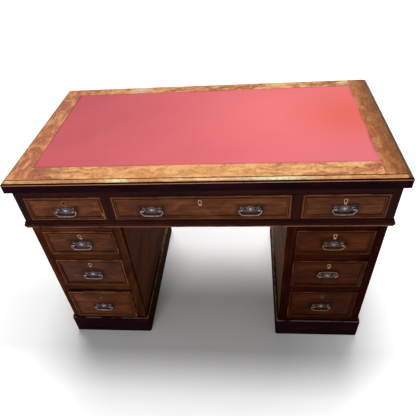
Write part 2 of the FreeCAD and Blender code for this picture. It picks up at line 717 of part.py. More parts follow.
def wire_rings(path, radius, sides):
    """Rings of a round wire along points in a plane square to Y, mitred at every point"""
    rings = []
    for index, here in enumerate(path):
        before = (here - path[index - 1]).normalize() if index else None
        after = (path[index + 1] - here).normalize() if index < len(path) - 1 else None
        into, out = before or after, after or before
        across = into.cross(Y_AXIS) + out.cross(Y_AXIS)
        across = across / (1 + into.dot(out))
        rings.append(ring(here, across, Y_AXIS, radius, sides))
    return rings


def bail(x, z, face, raised_deg):
    """The swinging bail: pins through the posts, shoulders, slanting arms and a bottom bar"""
    pivot = face - PIVOT_PROUD
    shoulder = BAIL_SHOULDER_WIDTH / 2
    pin_end = POST_SPACING / 2 + POST_HEAD_RADIUS - BAIL_PIN_LENGTH
    pin_start = POST_SPACING / 2 + POST_HEAD_RADIUS + RUNNING_GAP
    half = rounded_path([Vector(pin_start, 0, 0), Vector(shoulder, 0, 0),
                         Vector(shoulder, 0, -BAIL_SHOULDER_DROP),
                         Vector(BAIL_BAR_WIDTH / 2, 0, -BAIL_CORNER_DROP),
                         Vector(0, 0, -BAIL_BAR_DROP)], BAIL_BEND_RADIUS)
    path = half + [Vector(-p.x, p.y, p.z) for p in reversed(half[:-1])]
    pins = [ring(Vector(place, 0, 0), Z_AXIS, Y_AXIS, BAIL_PIN_RADIUS, WIRE_SIDES)
            for place in (pin_end, pin_start, -pin_start, -pin_end)]
    loop = skin(pins[:2] + wire_rings(path, BAIL_RADIUS, WIRE_SIDES) + pins[2:])
    loop.translate(Vector(x, pivot, z))
    loop.rotate(Vector(x, pivot, z), X_AXIS, -raised_deg)
    return loop


def write_drawer(bay):
    """The nodes of one drawer: front, box, lock, handle plate and a bail for each handle"""
    front, box, lock = drawer_parts(bay)
    plates, bails = [], []
    for name, x in bay.handles:
        plates += handle_plate(x, bay.handle_height, bay.face, bay.face + DRAWER_FRONT_BOARD)
        bails.append((bay.name + name + "_bail", [bail(x, bay.handle_height, bay.face, bay.raised_deg)]))
    nodes = [(bay.name + "_drawer_front", front), (bay.name + "_drawer_box", box),
             (bay.name + "_lock", lock), (bay.name + "_handle_plate", plates)] + bails
    for node, solids in nodes:
        for solid in solids:
            solid.translate(-Y_AXIS * bay.pulled_out)
        write(node, solids)


def desk():
    """Every node of the desk"""
    os.makedirs("parts", exist_ok=True)
    frieze = frieze_bays()
    pedestals = [(side, name, pedestal_bays(side, name)) for side, name in ((-1, "left"), (1, "right"))]
    pedestals[0][2][-1].pulled_out = LEFT_BOTTOM_PULLED_OUT
    pedestals[1][2][1].raised_deg = RIGHT_MIDDLE_BAIL_RAISED_DEG

    write("top_board", top_board())
    write("top_border", top_border())
    write("leather_inset", leather_inset())
    write("top_edge_moulding", top_edge_moulding())
    write("frieze_front_frame", frieze_front_frame(frieze))
    write("frieze_case", frieze_case(frieze))
    write("waist_moulding", waist_moulding())
    inside = []
    for bay in frieze:
        inside += runners(bay, RUNNER_HEIGHT, FRIEZE_TOP_RAIL)
    for side, name, bays in pedestals:
        write(name + "_pedestal_case", pedestal_case(side))
        write(name + "_pedestal_front_frame", pedestal_front_frame(side, bays))
        write(name + "_plinth", plinth(side))
        heights = (RUNNER_HEIGHT, RUNNER_HEIGHT, PEDESTAL_BOTTOM_RAIL - PEDESTAL_LEVEL_BOARD)
        kickers = (PEDESTAL_TOP_RAIL - PEDESTAL_LEVEL_BOARD, 0.0, 0.0)
        for bay, height, kicker in zip(bays, heights, kickers):
            inside += runners(bay, height, kicker)
    write("drawer_runners", inside)
    for bay in frieze + [bay for pedestal in pedestals for bay in pedestal[2]]:
        write_drawer(bay)


desk()
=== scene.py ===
# %% [markdown]
# # A twin-pedestal writing desk
# The desk has a leather top on a row of three drawers, and it stands on two pedestals of three
# drawers each. Its shape comes from a CAD model, which gives every board its true size. This lesson
# dresses that model: it adds the fine mouldings, the drawer facings and the metalwork, and gives
# every surface a finish made of shader nodes.

# %% Tools for the whole lesson
import math
from contextlib import contextmanager
from itertools import pairwise

import bmesh
import bpy
from mathutils import Matrix, Vector


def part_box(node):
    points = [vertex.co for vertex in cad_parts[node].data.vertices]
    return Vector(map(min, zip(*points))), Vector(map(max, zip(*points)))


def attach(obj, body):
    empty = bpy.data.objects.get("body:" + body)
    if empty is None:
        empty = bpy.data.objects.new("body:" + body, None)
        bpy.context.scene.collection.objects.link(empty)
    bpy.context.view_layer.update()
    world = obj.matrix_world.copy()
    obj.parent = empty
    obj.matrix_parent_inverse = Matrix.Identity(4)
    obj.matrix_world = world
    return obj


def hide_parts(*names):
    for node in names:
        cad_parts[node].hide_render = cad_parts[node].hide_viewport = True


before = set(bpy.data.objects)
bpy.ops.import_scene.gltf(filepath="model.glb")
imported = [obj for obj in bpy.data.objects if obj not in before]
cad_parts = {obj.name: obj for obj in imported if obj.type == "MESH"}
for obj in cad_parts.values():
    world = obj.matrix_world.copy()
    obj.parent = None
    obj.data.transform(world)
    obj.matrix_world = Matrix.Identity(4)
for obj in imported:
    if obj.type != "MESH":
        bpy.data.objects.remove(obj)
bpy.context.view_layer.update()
scene = bpy.context.scene
MM = 0.001

# %% [markdown]
# ## Light, floor and camera
# The photograph looks down on the desk from the front at about 46 degrees, a little from the right,
# and its lens is a wide one. The light is broad and soft, and the shadow falls towards the camera.
# A lamp in the distance with a wide angle gives such a soft shadow at an even level. A square lamp in
# front lights the drawers, and a pale world fills the rest. The floor is pale, and the camera sees
# a little of its own light too, so it comes out white except in the shadow. That light is laid out
# by place round the desk, none close to it and more farther out, and so paints the shadow's shape.

# %% Camera
scene.view_settings.view_transform = "Standard"
PHOTO_SIDE, FOCAL_PIXELS, SHIFT_PIXELS = 416, 403.9, 59.9


def aimed(yaw, pitch, roll):
    """A rotation for a camera: degrees round from +Y, down from level, and turned about its view"""
    yaw, pitch, roll = map(math.radians, (yaw, pitch, roll))
    forward = Vector((math.sin(yaw) * math.cos(pitch), math.cos(yaw) * math.cos(pitch), -math.sin(pitch)))
    level = Vector((math.cos(yaw), -math.sin(yaw), 0))
    right = level * math.cos(roll) + level.cross(forward) * math.sin(roll)
    return Matrix((right, right.cross(forward), -forward)).transposed().to_euler()


bpy.ops.object.camera_add(location=(0.147, -1.3315, 1.434), rotation=aimed(-7.97, 45.76, -5.42))
camera = bpy.context.object
camera.data.sensor_width = 36
camera.data.lens = 36 * FOCAL_PIXELS / PHOTO_SIDE
camera.data.shift_y = SHIFT_PIXELS / PHOTO_SIDE
scene.camera = camera
print("Lens", round(camera.data.lens, 2), "mm, shift", round(camera.data.shift_y, 3))

# %% Colours
WHITE = (1, 1, 1, 1)


def colour(red, green, blue):
    """A linear colour from the 0 to 255 values that a screen shows"""
    def linear(v):
        v /= 255
        return v / 12.92 if v <= 0.04045 else ((v + 0.055) / 1.055) ** 2.4
    return (linear(red), linear(green), linear(blue), 1)


print("Leather red as Blender counts it:", [round(v, 3) for v in colour(212, 98, 102)])

# %% Node helpers
GROUPS = bpy.data.node_groups


class Tree:
    """Short ways to add nodes to a group or a material"""

    def __init__(self, tree):
        self.tree = tree

    def put(self, inputs, values):
        """Values and sockets into a node's inputs, by name or number"""
        for key, value in dict(values).items():
            if isinstance(value, bpy.types.NodeSocket):
                self.tree.links.new(value, inputs[key])
            else:
                inputs[key].default_value = value

    def add(self, kind, inputs=(), **settings):
        """A node with its settings and its inputs"""
        node = self.tree.nodes.new("ShaderNode" + kind)
        for key, value in settings.items():
            setattr(node, key, value)
        self.put(node.inputs, inputs)
        return node

    def group(self, name, place, **inputs):
        """A node group placed in this tree"""
        return self.add("Group", {"Vector": place, **inputs}, node_tree=GROUPS[name]).outputs

    def shade(self, **values):
        """Values and sockets into the material's own shader"""
        shader = self.tree.nodes["Principled BSDF"]
        self.put(shader.inputs, {key.replace("_", " "): value for key, value in values.items()})

    def math(self, operation, a, b=0, clamp=False):
        """A Math node"""
        return self.add("Math", {0: a, 1: b}, operation=operation, use_clamp=clamp).outputs[0]

    def times(self, product, *others):
        """The product of several masks"""
        for other in others:
            product = self.math("MULTIPLY", product, other)
        return product

    def vector(self, operation, a, b):
        """A Vector Math node: a distance and a dot product are numbers, all else is a vector"""
        node = self.add("VectorMath", {0: a, 1: b}, operation=operation)
        return node.outputs[1 if operation in ("DISTANCE", "DOT_PRODUCT") else 0]

    def stretch(self, vector, x, y=1, z=1):
        """A vector scaled by its own amount on each axis"""
        return self.vector("MULTIPLY", vector, (x, y, z))

    def axes(self, vector):
        """The three numbers of a vector"""
        return self.add("SeparateXYZ", {0: vector}).outputs

    def band(self, value, low, high, out_low=0, out_high=1):
        """A value stretched from one range to another and kept inside it"""
        return self.add("MapRange", {0: value, 1: low, 2: high, 3: out_low, 4: out_high}).outputs[0]

    def blend(self, factor, a, b):
        """One value changing into another"""
        return self.add("Mix", {0: factor, 2: a, 3: b}, data_type="FLOAT").outputs[0]

    def mix(self, factor, a, b):
        """One colour changing into another"""
        return self.add("Mix", {0: factor, 6: a, 7: b}, data_type="RGBA").outputs[2]

    def stain(self, base, tone, *masks):
        """A tone laid over a colour where all the masks meet"""
        return self.mix(self.times(*masks), base, colour(*tone))

    def noise(self, vector, scale, detail=3, distortion=0):
        """Soft random values over a vector"""
        return self.add("TexNoise", {"Vector": vector, "Scale": scale, "Detail": detail,
                                     "Distortion": distortion}).outputs[0]

    def attribute(self, name):
        """A number that the mesh carries"""
        return self.add("Attribute", attribute_name=name).outputs["Fac"]

    def bump(self, height, strength, distance):
        """A relief for the shader"""
        return self.add("Bump", {"Height": height, "Strength": strength, "Distance": distance}).outputs[0]


def new_finish(name, roughness, **plain):
    """A material with plain values, its node helper and the place on the object"""
    finish = bpy.data.materials.new(name)
    finish.use_nodes = True
    tree = Tree(finish.node_tree)
    tree.shade(Roughness=roughness, **plain)
    return finish, tree, tree.add("TexCoord").outputs["Object"]


print("Helpers:", [name for name in vars(Tree) if name[0] != "_"])

# %% Lamps and world
bpy.ops.object.light_add(type="SUN", rotation=(math.radians(-24), math.radians(-3), 0))
sun = bpy.context.object.data
sun.energy, sun.angle = 2.3, math.radians(30)

place, target = Vector((-0.9, -3.4, 1.3)), Vector((0, 0, 0.45))
bpy.ops.object.light_add(type="AREA", location=place)
lamp = bpy.context.object
lamp.rotation_euler = (target - place).to_track_quat("-Z", "Y").to_euler()
lamp.name, lamp.data.size, lamp.data.energy = "front lamp", 1.4, 38

world = bpy.data.worlds.new("pale room")
scene.world = world
world.use_nodes = True
tree = Tree(world.node_tree)
bright = tree.math("MAXIMUM", tree.add("LightPath").outputs["Is Camera Ray"], 0.25)
tree.put(world.node_tree.nodes["Background"].inputs, {"Color": WHITE, "Strength": bright})

# %% Floor
bpy.ops.mesh.primitive_plane_add(size=30)
floor = bpy.context.object
floor.name = "floor"
floor_with_painted_light, tree, spot = new_finish("floor", 0.9, Base_Color=(0.8, 0.8, 0.8, 1), Emission_Color=WHITE)
floor.data.materials.append(floor_with_painted_light)
x, y, _ = tree.axes(spot)
# Painted shadow: the floor's own light, for the camera and for reflections, grows with distance from a point
# by the desk and in bands in front, under and behind the desk and to the right
away = tree.vector("DISTANCE", spot, (-0.15, -0.35, 0))
painted_floor_light = 0
for source, *steps in ((away, 0.45, 1, 0.02, 0.26), (y, -0.42, -0.62, 0, 0.32), (y, -0.15, 0.15, 0, 0.12),
                       (y, 0.6, 0.9, 0, 0.16), (x, 0.5, 0.7, 0, 0.14)):
    painted_floor_light = tree.math("ADD", tree.band(source, *steps), painted_floor_light)
rays = tree.add("LightPath").outputs
seen = tree.math("MAXIMUM", rays["Is Camera Ray"], rays["Is Glossy Ray"])
tree.shade(Emission_Strength=tree.times(seen, painted_floor_light))
print("Floor", tuple(round(v, 1) for v in floor.dimensions))

# %% [markdown]
# ## Shader parts that several finishes share
# Old polished wood shows its figure, its pores, pale worn edges and dark grime in its corners. The
# dark in corners and recesses is also painted shade here. Each of these is a node group, built once,
# so that every wood can use it with its own values. The pattern has to run along each board. So every
# mesh carries two attributes: "grain" says which axis the board runs along, and "lot" is a number of
# its own that shifts the figure from board to board.

# %% Along the board


def new_group(name, outputs, **inputs):
    """An empty node group: its helper, its place and other inputs, and a way to give results"""
    group = GROUPS.new(name, "ShaderNodeTree")
    sockets = [(label, value, "INPUT") for label, value in {"Vector": None, **inputs}.items()]
    for label, value, way in sockets + [(label, None, "OUTPUT") for label in outputs]:
        kind = "NodeSocketVector" if label in ("Vector", "Start", "Span") else "NodeSocketFloat"
        socket = group.interface.new_socket(label, in_out=way, socket_type=kind)
        if value is not None:
            socket.default_value = value
    given, made = (group.nodes.new("NodeGroup" + way) for way in ("Input", "Output"))
    return (Tree(group), given.outputs["Vector"], given.outputs,
            lambda label, socket: group.links.new(socket, made.inputs[label]))


tree, here, given, give = new_group("along the board", ["Vector"])
axes = tree.axes(here)
runs = tree.attribute("grain")
turned, *others = [tree.add("CombineXYZ", dict(enumerate(axes[i] for i in order))).outputs[0]
                   for order in ((0, 1, 2), (1, 0, 2), (2, 1, 0))]
for step, other in zip((0.5, 1.5), others):
    passed = tree.math("GREATER_THAN", runs, step)
    turned = tree.add("Mix", {0: passed, 4: turned, 5: other}, data_type="VECTOR").outputs[1]
give("Vector", tree.vector("ADD", turned, tree.stretch(tree.attribute("lot"), 3.1, 5.7, 2.3)))
print("Nodes that turn the grain:", len(tree.tree.nodes))

# %% Figure and pores
tree, here, given, give = new_group("wood figure", ["Tone", "Pores"], Scale=12, Streak=0.5)
mottle = tree.noise(tree.stretch(here, 0.45), given["Scale"], 7, 1)
streaks = tree.noise(tree.stretch(here, 0.08), tree.times(given["Scale"], 7), 6, 0.4)
give("Tone", tree.band(tree.blend(given["Streak"], mottle, streaks), 0.32, 0.68))
pores = tree.noise(tree.stretch(here, 0.04), 700, 2)
give("Pores", tree.band(pores, 0.6, 0.72))

tree, here, given, give = new_group("burr figure", ["Tone", "Pores"], Scale=36, Streak=0.3)
swirl = tree.add("TexNoise", {"Vector": here, "Scale": 26, "Detail": 2}).outputs[1]
bent = tree.vector("ADD", here, tree.stretch(swirl, 0.03, 0.03, 0.03))
patches = tree.band(tree.noise(tree.stretch(bent, 0.38), given["Scale"], 7, 1.2), 0.39, 0.6)
feathers = tree.band(tree.noise(tree.stretch(bent, 0.3), 260, 4, 1), 0.35, 0.65)
give("Tone", tree.blend(given["Streak"], patches, feathers))
give("Pores", tree.band(tree.noise(bent, 110, 4), 0.56, 0.64))
print("Nodes in the burr:", len(tree.tree.nodes))

# %% Wear, grime and scratches
tree, here, given, give = new_group("worn edge", ["Mask"], Amount=0.5)
patches = tree.noise(tree.stretch(here, 0.4), 36, 4)
level = tree.math("ADD", tree.math("SUBTRACT", patches, 0.72), tree.times(given["Amount"], 0.5))
give("Mask", tree.times(tree.attribute("worn"), tree.band(level, 0, 0.12)))

# Dark where the mesh is marked, under a soft cloud: dirt, and painted shade in recesses and corners
tree, here, given, give = new_group("corner dirt and shade", ["Mask"], Amount=0.7)
cloud = tree.band(tree.noise(here, 38, 4), 0.25, 0.6, 0.45, 1)
darkening = tree.times(tree.attribute("dirt_and_shade"), cloud)
give("Mask", tree.math("MULTIPLY", darkening, given["Amount"], clamp=True))

tree, here, given, give = new_group("fine scratches", ["Mask"], Scale=9)
field = tree.noise(tree.stretch(here, 0.12), given["Scale"], 1)
line = tree.band(tree.math("ABSOLUTE", tree.math("SUBTRACT", field, 0.5)), 0, 0.003, 1, 0)
sparse = tree.band(tree.noise(here, 14, 2), 0.56, 0.62)
give("Mask", tree.times(line, sparse))

tree, here, given, give = new_group("scar", ["Mask"], Start=None, Span=None, Width=0.001)
reach = tree.vector("SUBTRACT", here, given["Start"])
along, whole = (tree.vector("DOT_PRODUCT", way, given["Span"]) for way in (reach, given["Span"]))
share = tree.math("DIVIDE", along, whole, clamp=True)
foot = tree.add("VectorMath", {0: given["Span"], "Scale": share}, operation="SCALE").outputs[0]
ragged = tree.band(tree.noise(here, 180, 3), 0.3, 0.7, 0.3, 1.6)
gap = tree.vector("DISTANCE", reach, foot)
give("Mask", tree.math("LESS_THAN", gap, tree.times(given["Width"], ragged)))
print("Node groups:", GROUPS.keys())

# %% [markdown]
# ## The finishes
# The desk is veneered in figured wood under a glossy old polish: golden on the border of the top,
# red-brown on the drawers and darker on the right pedestal. The frames and plinths are nearly black.
# One function makes all the woods from three tones and a few amounts, which keeps them related. Where
# a wood's tone changes from place to place, its tint says how, and some tints paint highlights, glints,
# a reflection and shade into the colour.

# %% One function for all woods


def ramp(tree, value, *tones):
    """A value turned into tones at even steps"""
    node = tree.add("ValToRGB", {0: value})
    stops = node.color_ramp.elements
    for _ in tones[2:]:
        stops.new(0.5)
    for index, (stop, tone) in enumerate(zip(stops, tones)):
        stop.position = index / (len(tones) - 1)
        stop.color = colour(*tone)
    return node.outputs[0]


def wood(name, tones, bare, scale=12, streak=0.5, roughness=0.42, worn=0.5, coat=0, specular=0.2,
         kind="wood figure", tint=None, scars=()):
    """A polished wood from dark, middle and light tones and the bare tone of its worn edges, darkened where
    the mesh marks dirt and painted shade: tint adds to the base by its place on the object, some tints
    painting light and shade, and a scar is a start, a span, a half width and a tone"""
    finish, tree, spot = new_finish(name, roughness, Coat_Roughness=0.16, Coat_Weight=coat,
                                    Specular_IOR_Level=specular)
    place = tree.group("along the board", spot)["Vector"]
    figure = tree.group(kind, place, Scale=scale, Streak=streak)
    base = ramp(tree, figure["Tone"], *tones)
    if tint:
        base = tint(tree, spot, base)
    dark = tree.mix(0.5, base, colour(*[c * 0.4 for c in tones[0]]))
    base = tree.mix(tree.times(figure["Pores"], 0.55), base, dark)
    wear = tree.group("worn edge", place, Amount=worn)["Mask"]
    base = tree.stain(base, bare, wear, 0.85)
    # Dark in the marked corners and recesses: dirt, and painted shade
    dirt_and_shade = tree.group("corner dirt and shade", place, Amount=0.9)["Mask"]
    base = tree.stain(base, [c * 0.25 for c in tones[0]], dirt_and_shade)
    scratches = tree.group("fine scratches", place)["Mask"]
    base = tree.stain(base, bare, scratches, 0.22)
    for start, span, width, tone in scars:
        scar = tree.group("scar", spot, Start=start, Span=span, Width=width)["Mask"]
        base = tree.stain(base, tone, scar, 0.85)
    rough = tree.math("ADD", tree.band(figure["Tone"], 0, 1, roughness + 0.06, roughness - 0.06),
                      tree.times(tree.math("MAXIMUM", dirt_and_shade, wear), 0.25))
    height = tree.math("SUBTRACT", tree.times(figure["Tone"], 0.3),
                       tree.math("MAXIMUM", figure["Pores"], scratches))
    tree.shade(Base_Color=base, Roughness=rough, Normal=tree.bump(height, 0.25, 0.0004))
    return finish


pine = wood("brown pine of the insides", ((104, 64, 36), (132, 88, 54), (158, 112, 74)), (176, 134, 94),
            scale=9, streak=0.8, roughness=0.6, worn=0.3)
print("Nodes in the pine:", len(pine.node_tree.nodes))

# %% [markdown]
# ## Tints
# A tint is a list of layers. Each layer lays one tone where all its masks meet: a mask takes an axis or
# another measure, and rises from nothing to its full strength between two of its values.

# %% Tints as layers


def tinted(*layers):
    """A tint from layers, each a tone and its masks: a mask begins with an axis or another thing to
    measure, and goes on with the steps of a band"""
    def tint(tree, spot, base):
        axes = dict(zip("xyz", tree.axes(spot)))
        for tone, *masks in layers:
            base = tree.stain(base, tone, *[
                tree.band(axes[what] if what in axes else what(tree, spot), *steps)
                for what, *steps in masks])
        return base
    return tint


def near(*point):
    """How far a place is from a point"""
    return lambda tree, spot: tree.vector("DISTANCE", spot, point)


def off(level):
    """How far a place is to the left or right of a level of x"""
    return lambda tree, spot: tree.math("ABSOLUTE", tree.math("SUBTRACT", tree.axes(spot)[0], level))


def clouds(scale, detail, along=1):
    """Soft random values, longer along x where along is less than one"""
    return lambda tree, spot: tree.noise(tree.stretch(spot, along), scale, detail)


# The level of the top, and x at the seams of the border and at the faces beside the kneehole
TOP, SEAM = 0.775, 0.532
CASE, PLINTH = (abs(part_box(node)[1].x) for node in ("left_pedestal_case", "left_plinth"))
print("Faces beside the kneehole at x:", round(CASE, 4), round(PLINTH, 4))

# %% Tints of the top: a painted sheen on the front and painted glints on the back, pinker on the left and browner on the right
# On the border the pale glow across the middle of the front and the three pale spots on the back board are
# painted highlights
border_tint_and_painted_glints = tinted(
    ((255, 190, 112), ("y", -0.2, -0.27), (off(0), 0.5, 0.1, 0, 0.5)),
    ((192, 112, 80), ("x", 0.001 - SEAM, -0.001 - SEAM, 0, 0.42)),
    ((170, 98, 74), ("y", -0.255, -0.262), ("x", -0.36, -0.47), (clouds(22, 4, 0.6), 0.42, 0.52, 0.15, 0.8),
     ("x", -0.001 - SEAM, 0.001 - SEAM)),
    ((255, 222, 204), (near(-0.285, 0.315, TOP), 0.055, 0, 0, 0.75)),
    ((255, 214, 150), (near(0.27, 0.315, TOP), 0.07, 0, 0, 0.75)),
    ((255, 224, 160), (near(0.52, 0.315, TOP), 0.04, 0, 0, 0.75)),
    ((162, 88, 14), ("x", SEAM - 0.001, SEAM + 0.001, 0, 0.62)),
    ((104, 54, 8), ("x", 0.545, 0.59, 0, 0.6)))
# On the edge two pale spots at the front are painted highlights; it is darker at its left end and much darker
# at its right end, which is painted shade
edge_tint_and_painted_light = tinted(
    ((255, 252, 206), ("y", -0.31, -0.325), (off(-0.245), 0.06, 0, 0, 0.75)),
    ((255, 252, 206), ("y", -0.31, -0.325), (off(0.235), 0.14, 0, 0, 0.75)),
    ((96, 50, 30), ("x", -0.592, -0.597, 0, 0.55)),
    ((72, 34, 14), ("x", 0.59, 0.595, 0, 0.9)))
# On the leather a bright pool towards the right is painted light, with warmer and pinker tones beside it
leather_tint_and_painted_light = tinted(
    ((255, 126, 128), (near(0.22, 0.12, TOP), 0.34, 0.04, 0, 0.6)),
    ((238, 100, 72), (near(0.5, 0.04, TOP), 0.24, 0.04, 0, 0.65)),
    ((232, 116, 132), ("x", 0.05, 0.5, 0, 0.6), ("y", 0, -0.26)))
print("The border's seams are", 2 * SEAM, "m apart")

# %% Tints below: dark patches in the figure, sides darker to the floor with painted light and a painted reflection, a paler and ragged plinth
frieze_tint = tinted(
    ((62, 29, 16), (off(-0.15), 0.13, 0.03, 0, 0.4)),
    ((58, 26, 14), ("x", 0.28, 0.34, 0, 0.25)))
left_tint = tinted(
    ((46, 22, 15), ("z", 0.42, 0.424), ("x", -0.44, -0.28, 0, 0.5)),
    ((56, 28, 24), ("z", 0.284, 0.288), ("z", 0.424, 0.42, 0, 0.35)))
right_tint = tinted(((30, 8, 3), ("z", 0.5, 0.15, 0, 0.45)))
stile_tint = tinted(((44, 18, 11), ("x", -0.248, -0.232, 0, 0.6)))
# On the sides: darker towards the floor; the faces in the kneehole keep a lighter tone as painted light while
# faces farther out get a darker one, and the right pedestal's kneehole face has a grey painted reflection
side_tint_and_painted_light = tinted(
    ((40, 16, 9), ("z", 0.5, 0.12, 0, 0.55)),
    ((112, 92, 72), ("x", CASE - 0.002, CASE, 0, 0.25)),
    ((44, 19, 11), (off(0), CASE + 0.003, CASE + 0.02, 0, 0.62)))
# On the plinths: a paler side in the kneehole, a pale line on the top towards the back, and a ragged pale
# line along the round of the top, partly wear and partly a painted highlight
plinth_tint_and_painted_highlight = tinted(
    ((88, 62, 38), (off(0), PLINTH + 0.002, PLINTH + 0.0005), ("y", -0.33, 0.2, 0.195, 0.65)),
    ((122, 104, 90), (off(0), PLINTH + 0.012, PLINTH + 0.01), ("z", 0.0895, 0.0905), ("y", 0.02, 0.14)),
    ((168, 146, 120), (off(0), PLINTH + 0.006, PLINTH + 0.004), ("z", 0.083, 0.0845),
     (clouds(64, 5), 0.4, 0.6), ("y", -0.3, 0.1, 0.3, 1)))

# %% The woods themselves
border_wood = wood(
    "golden border veneer with painted glints", ((130, 58, 32), (224, 142, 88), (255, 212, 146)), (246, 196, 130), scale=32,
    streak=0.38, roughness=0.34, coat=0.1, specular=0.25, kind="burr figure", tint=border_tint_and_painted_glints)
edge_wood = wood(
    "polished edge veneer with painted light", ((186, 116, 74), (222, 160, 104), (248, 196, 132)), (255, 214, 140), scale=30,
    streak=0.4, roughness=0.26, coat=0.15, kind="burr figure", tint=edge_tint_and_painted_light)
bead_wood = wood(
    "worn black bead", ((22, 8, 10), (30, 12, 12), (44, 20, 16)), (196, 138, 100), worn=0.95, specular=0.05)
fascia_and_shade_wood = wood(
    "black fascia and painted shade", ((22, 8, 13), (30, 12, 17), (40, 18, 22)), (96, 62, 48), worn=0.35, specular=0)
frieze_wood = wood(
    "dark frieze wood", ((28, 10, 12), (42, 16, 15), (60, 25, 18)), (110, 66, 46), worn=0.45, scale=8,
    specular=0.02)
pedestal_wood = wood(
    "brown pedestal wood", ((42, 17, 9), (66, 32, 18), (96, 54, 32)), (140, 88, 58), worn=0.45, streak=0.45,
    specular=0, tint=stile_tint)
right_wood = wood(
    "dark red pedestal wood", ((24, 7, 5), (40, 13, 8), (60, 24, 14)), (110, 62, 44), worn=0.42, streak=0.45,
    specular=0)
waist_wood = wood(
    "dark waist wood", ((34, 12, 9), (50, 20, 14), (68, 31, 21)), (136, 94, 80), worn=0.68, specular=0.02)
plinth_wood = wood(
    "black plinth with painted highlight", ((22, 9, 12), (31, 13, 17), (44, 21, 24)), (112, 86, 80), worn=0.7, specular=0,
    tint=plinth_tint_and_painted_highlight)
side_wood = wood(
    "brown side wood with painted light", ((84, 40, 18), (108, 56, 26), (134, 74, 38)), (136, 108, 76), scale=7, streak=0.3,
    roughness=0.7, specular=0.02, worn=0.42, tint=side_tint_and_painted_light)
drawer_woods = {
    "frieze": wood(
        "frieze drawer veneer", ((64, 28, 12), (94, 50, 26), (128, 75, 43)), (146, 98, 62), scale=24,
        streak=0.4, specular=0.06, tint=frieze_tint,
        scars=[((-0.33, -0.3262, 0.672), (0.012, 0, -0.045), 0.0013, (176, 132, 96)),
               ((-0.545, -0.3238, 0.69), (0.03, 0, 0.004), 0.0009, (150, 100, 66))]),
    "left": wood(
        "left drawer veneer", ((52, 22, 8), (82, 41, 18), (116, 64, 31)), (166, 106, 72), scale=22,
        streak=0.45, worn=0.56, specular=0.06, tint=left_tint,
        scars=[((-0.547, -0.324, 0.298), (0, 0, 0.116), 0.0046, (34, 15, 12)),
               ((-0.543, -0.324, 0.408), (0.005, 0, 0.003), 0.0028, (112, 108, 120))]),
    "right": wood(
        "right drawer veneer", ((46, 17, 4), (70, 30, 9), (96, 47, 18)), (122, 74, 46), scale=22, streak=0.45,
        worn=0.42, specular=0.03, tint=right_tint,
        scars=[((0.4095, -0.323, 0.331), (0.01, 0, -0.03), 0.0018, (16, 6, 4))])}
print("Woods:", bpy.data.materials.keys())

# %% [markdown]
# ## Leather and metal
# Leather has a fine cell-like grain, which is a Voronoi pattern here, and broad soft changes of tone
# from use. Its brightening towards the right and a soft pool of light on it are painted light. Cast
# metal is bright where hands rub it and dull in its hollows. For the metals an attribute of the mesh
# says where those hollows are.

# %% Leather
tree, here, given, give = new_group("leather grain", ["Height", "Tone"], Scale=900)
cells = tree.add("TexVoronoi", {"Vector": here, "Scale": given["Scale"]}, feature="SMOOTH_F1")
give("Height", tree.math("ADD", cells.outputs["Distance"], tree.noise(here, 260, 3)))
give("Tone", tree.band(tree.noise(here, 3.2, 3), 0.3, 0.7))

leather, tree, place = new_finish("rose leather with painted light", 0.48, Specular_IOR_Level=0.28)
grain = tree.group("leather grain", place)
# Brighter towards the right: painted light
across = tree.band(tree.axes(place)[0], -0.5, 0.38, 0, 0.78)
tone = tree.math("ADD", across, tree.times(grain["Tone"], 0.22))
base = leather_tint_and_painted_light(tree, place, ramp(tree, tone, (198, 82, 90), (230, 102, 110), (255, 122, 124)))
broken = tree.band(tree.noise(place, 14, 4), 0.4, 0.62, 0.1, 0.65)
base = tree.stain(base, (110, 34, 50), tree.attribute("worn"), broken)
tree.shade(Base_Color=base, Roughness=tree.band(grain["Tone"], 0, 1, 0.52, 0.42),
           Normal=tree.bump(grain["Height"], 0.3, 0.0003))
print("Leather nodes:", len(tree.tree.nodes))

# %% Metals


def metal(name, bright, dull, roughness, tarnish=0.5):
    """A cast metal, bright where hands rub it and dull in its hollows"""
    finish, tree, place = new_finish(name, roughness, Metallic=0.6)
    patches = tree.band(tree.noise(place, 160, 4), 0.6 - tarnish * 0.2, 0.7, 0, 0.8)
    hollow = tree.math("MAXIMUM", tree.attribute("dirt_and_shade"), patches)
    tree.shade(Base_Color=tree.mix(hollow, colour(*bright), colour(*dull)),
               Roughness=tree.band(hollow, 0, 1, roughness, roughness + 0.3),
               Normal=tree.bump(tree.noise(place, 900, 2), 0.15, 0.0003))
    return finish


pewter = metal("worn nickel", (150, 142, 148), (76, 62, 62), 0.2)
copper_tint = metal("worn nickel over copper", (140, 120, 112), (70, 50, 42), 0.26)
bail_grey = metal("rubbed grey bail", (138, 128, 132), (70, 58, 56), 0.28, 0.6)
bail_brown = metal("rubbed brown bail", (124, 102, 90), (60, 42, 34), 0.34, 0.6)
brass = metal("pale brass", (168, 140, 112), (84, 60, 42), 0.34)
dull_brass = metal("dull brass", (116, 82, 58), (44, 28, 20), 0.42, 0.8)
iron = metal("grey lock iron", (120, 118, 116), (52, 46, 42), 0.45, 0.6)
print("Finishes in all:", len(bpy.data.materials))

# %% [markdown]
# ## Copies of the CAD boards with eased edges
# Most boards of the desk are plain ones, and the CAD model has them at their true size but with
# knife edges. On an old desk every edge is a little round, and that is where light catches and polish
# wears off. So each CAD node is copied, solid by solid, its triangles are dissolved into flat faces
# and its edges get a small bevel. The faces of the bevel are marked as worn for the shader.

# %% Mesh helpers
SMOOTH_BELOW = math.radians(38)


def linked(name, data):
    """A new object in the scene that shows some data"""
    obj = bpy.data.objects.new(name, data)
    scene.collection.objects.link(obj)
    return obj


def alone(obj):
    """Makes obj active and selects it alone"""
    bpy.ops.object.select_all(action="DESELECT")
    obj.select_set(True)
    bpy.context.view_layer.objects.active = obj


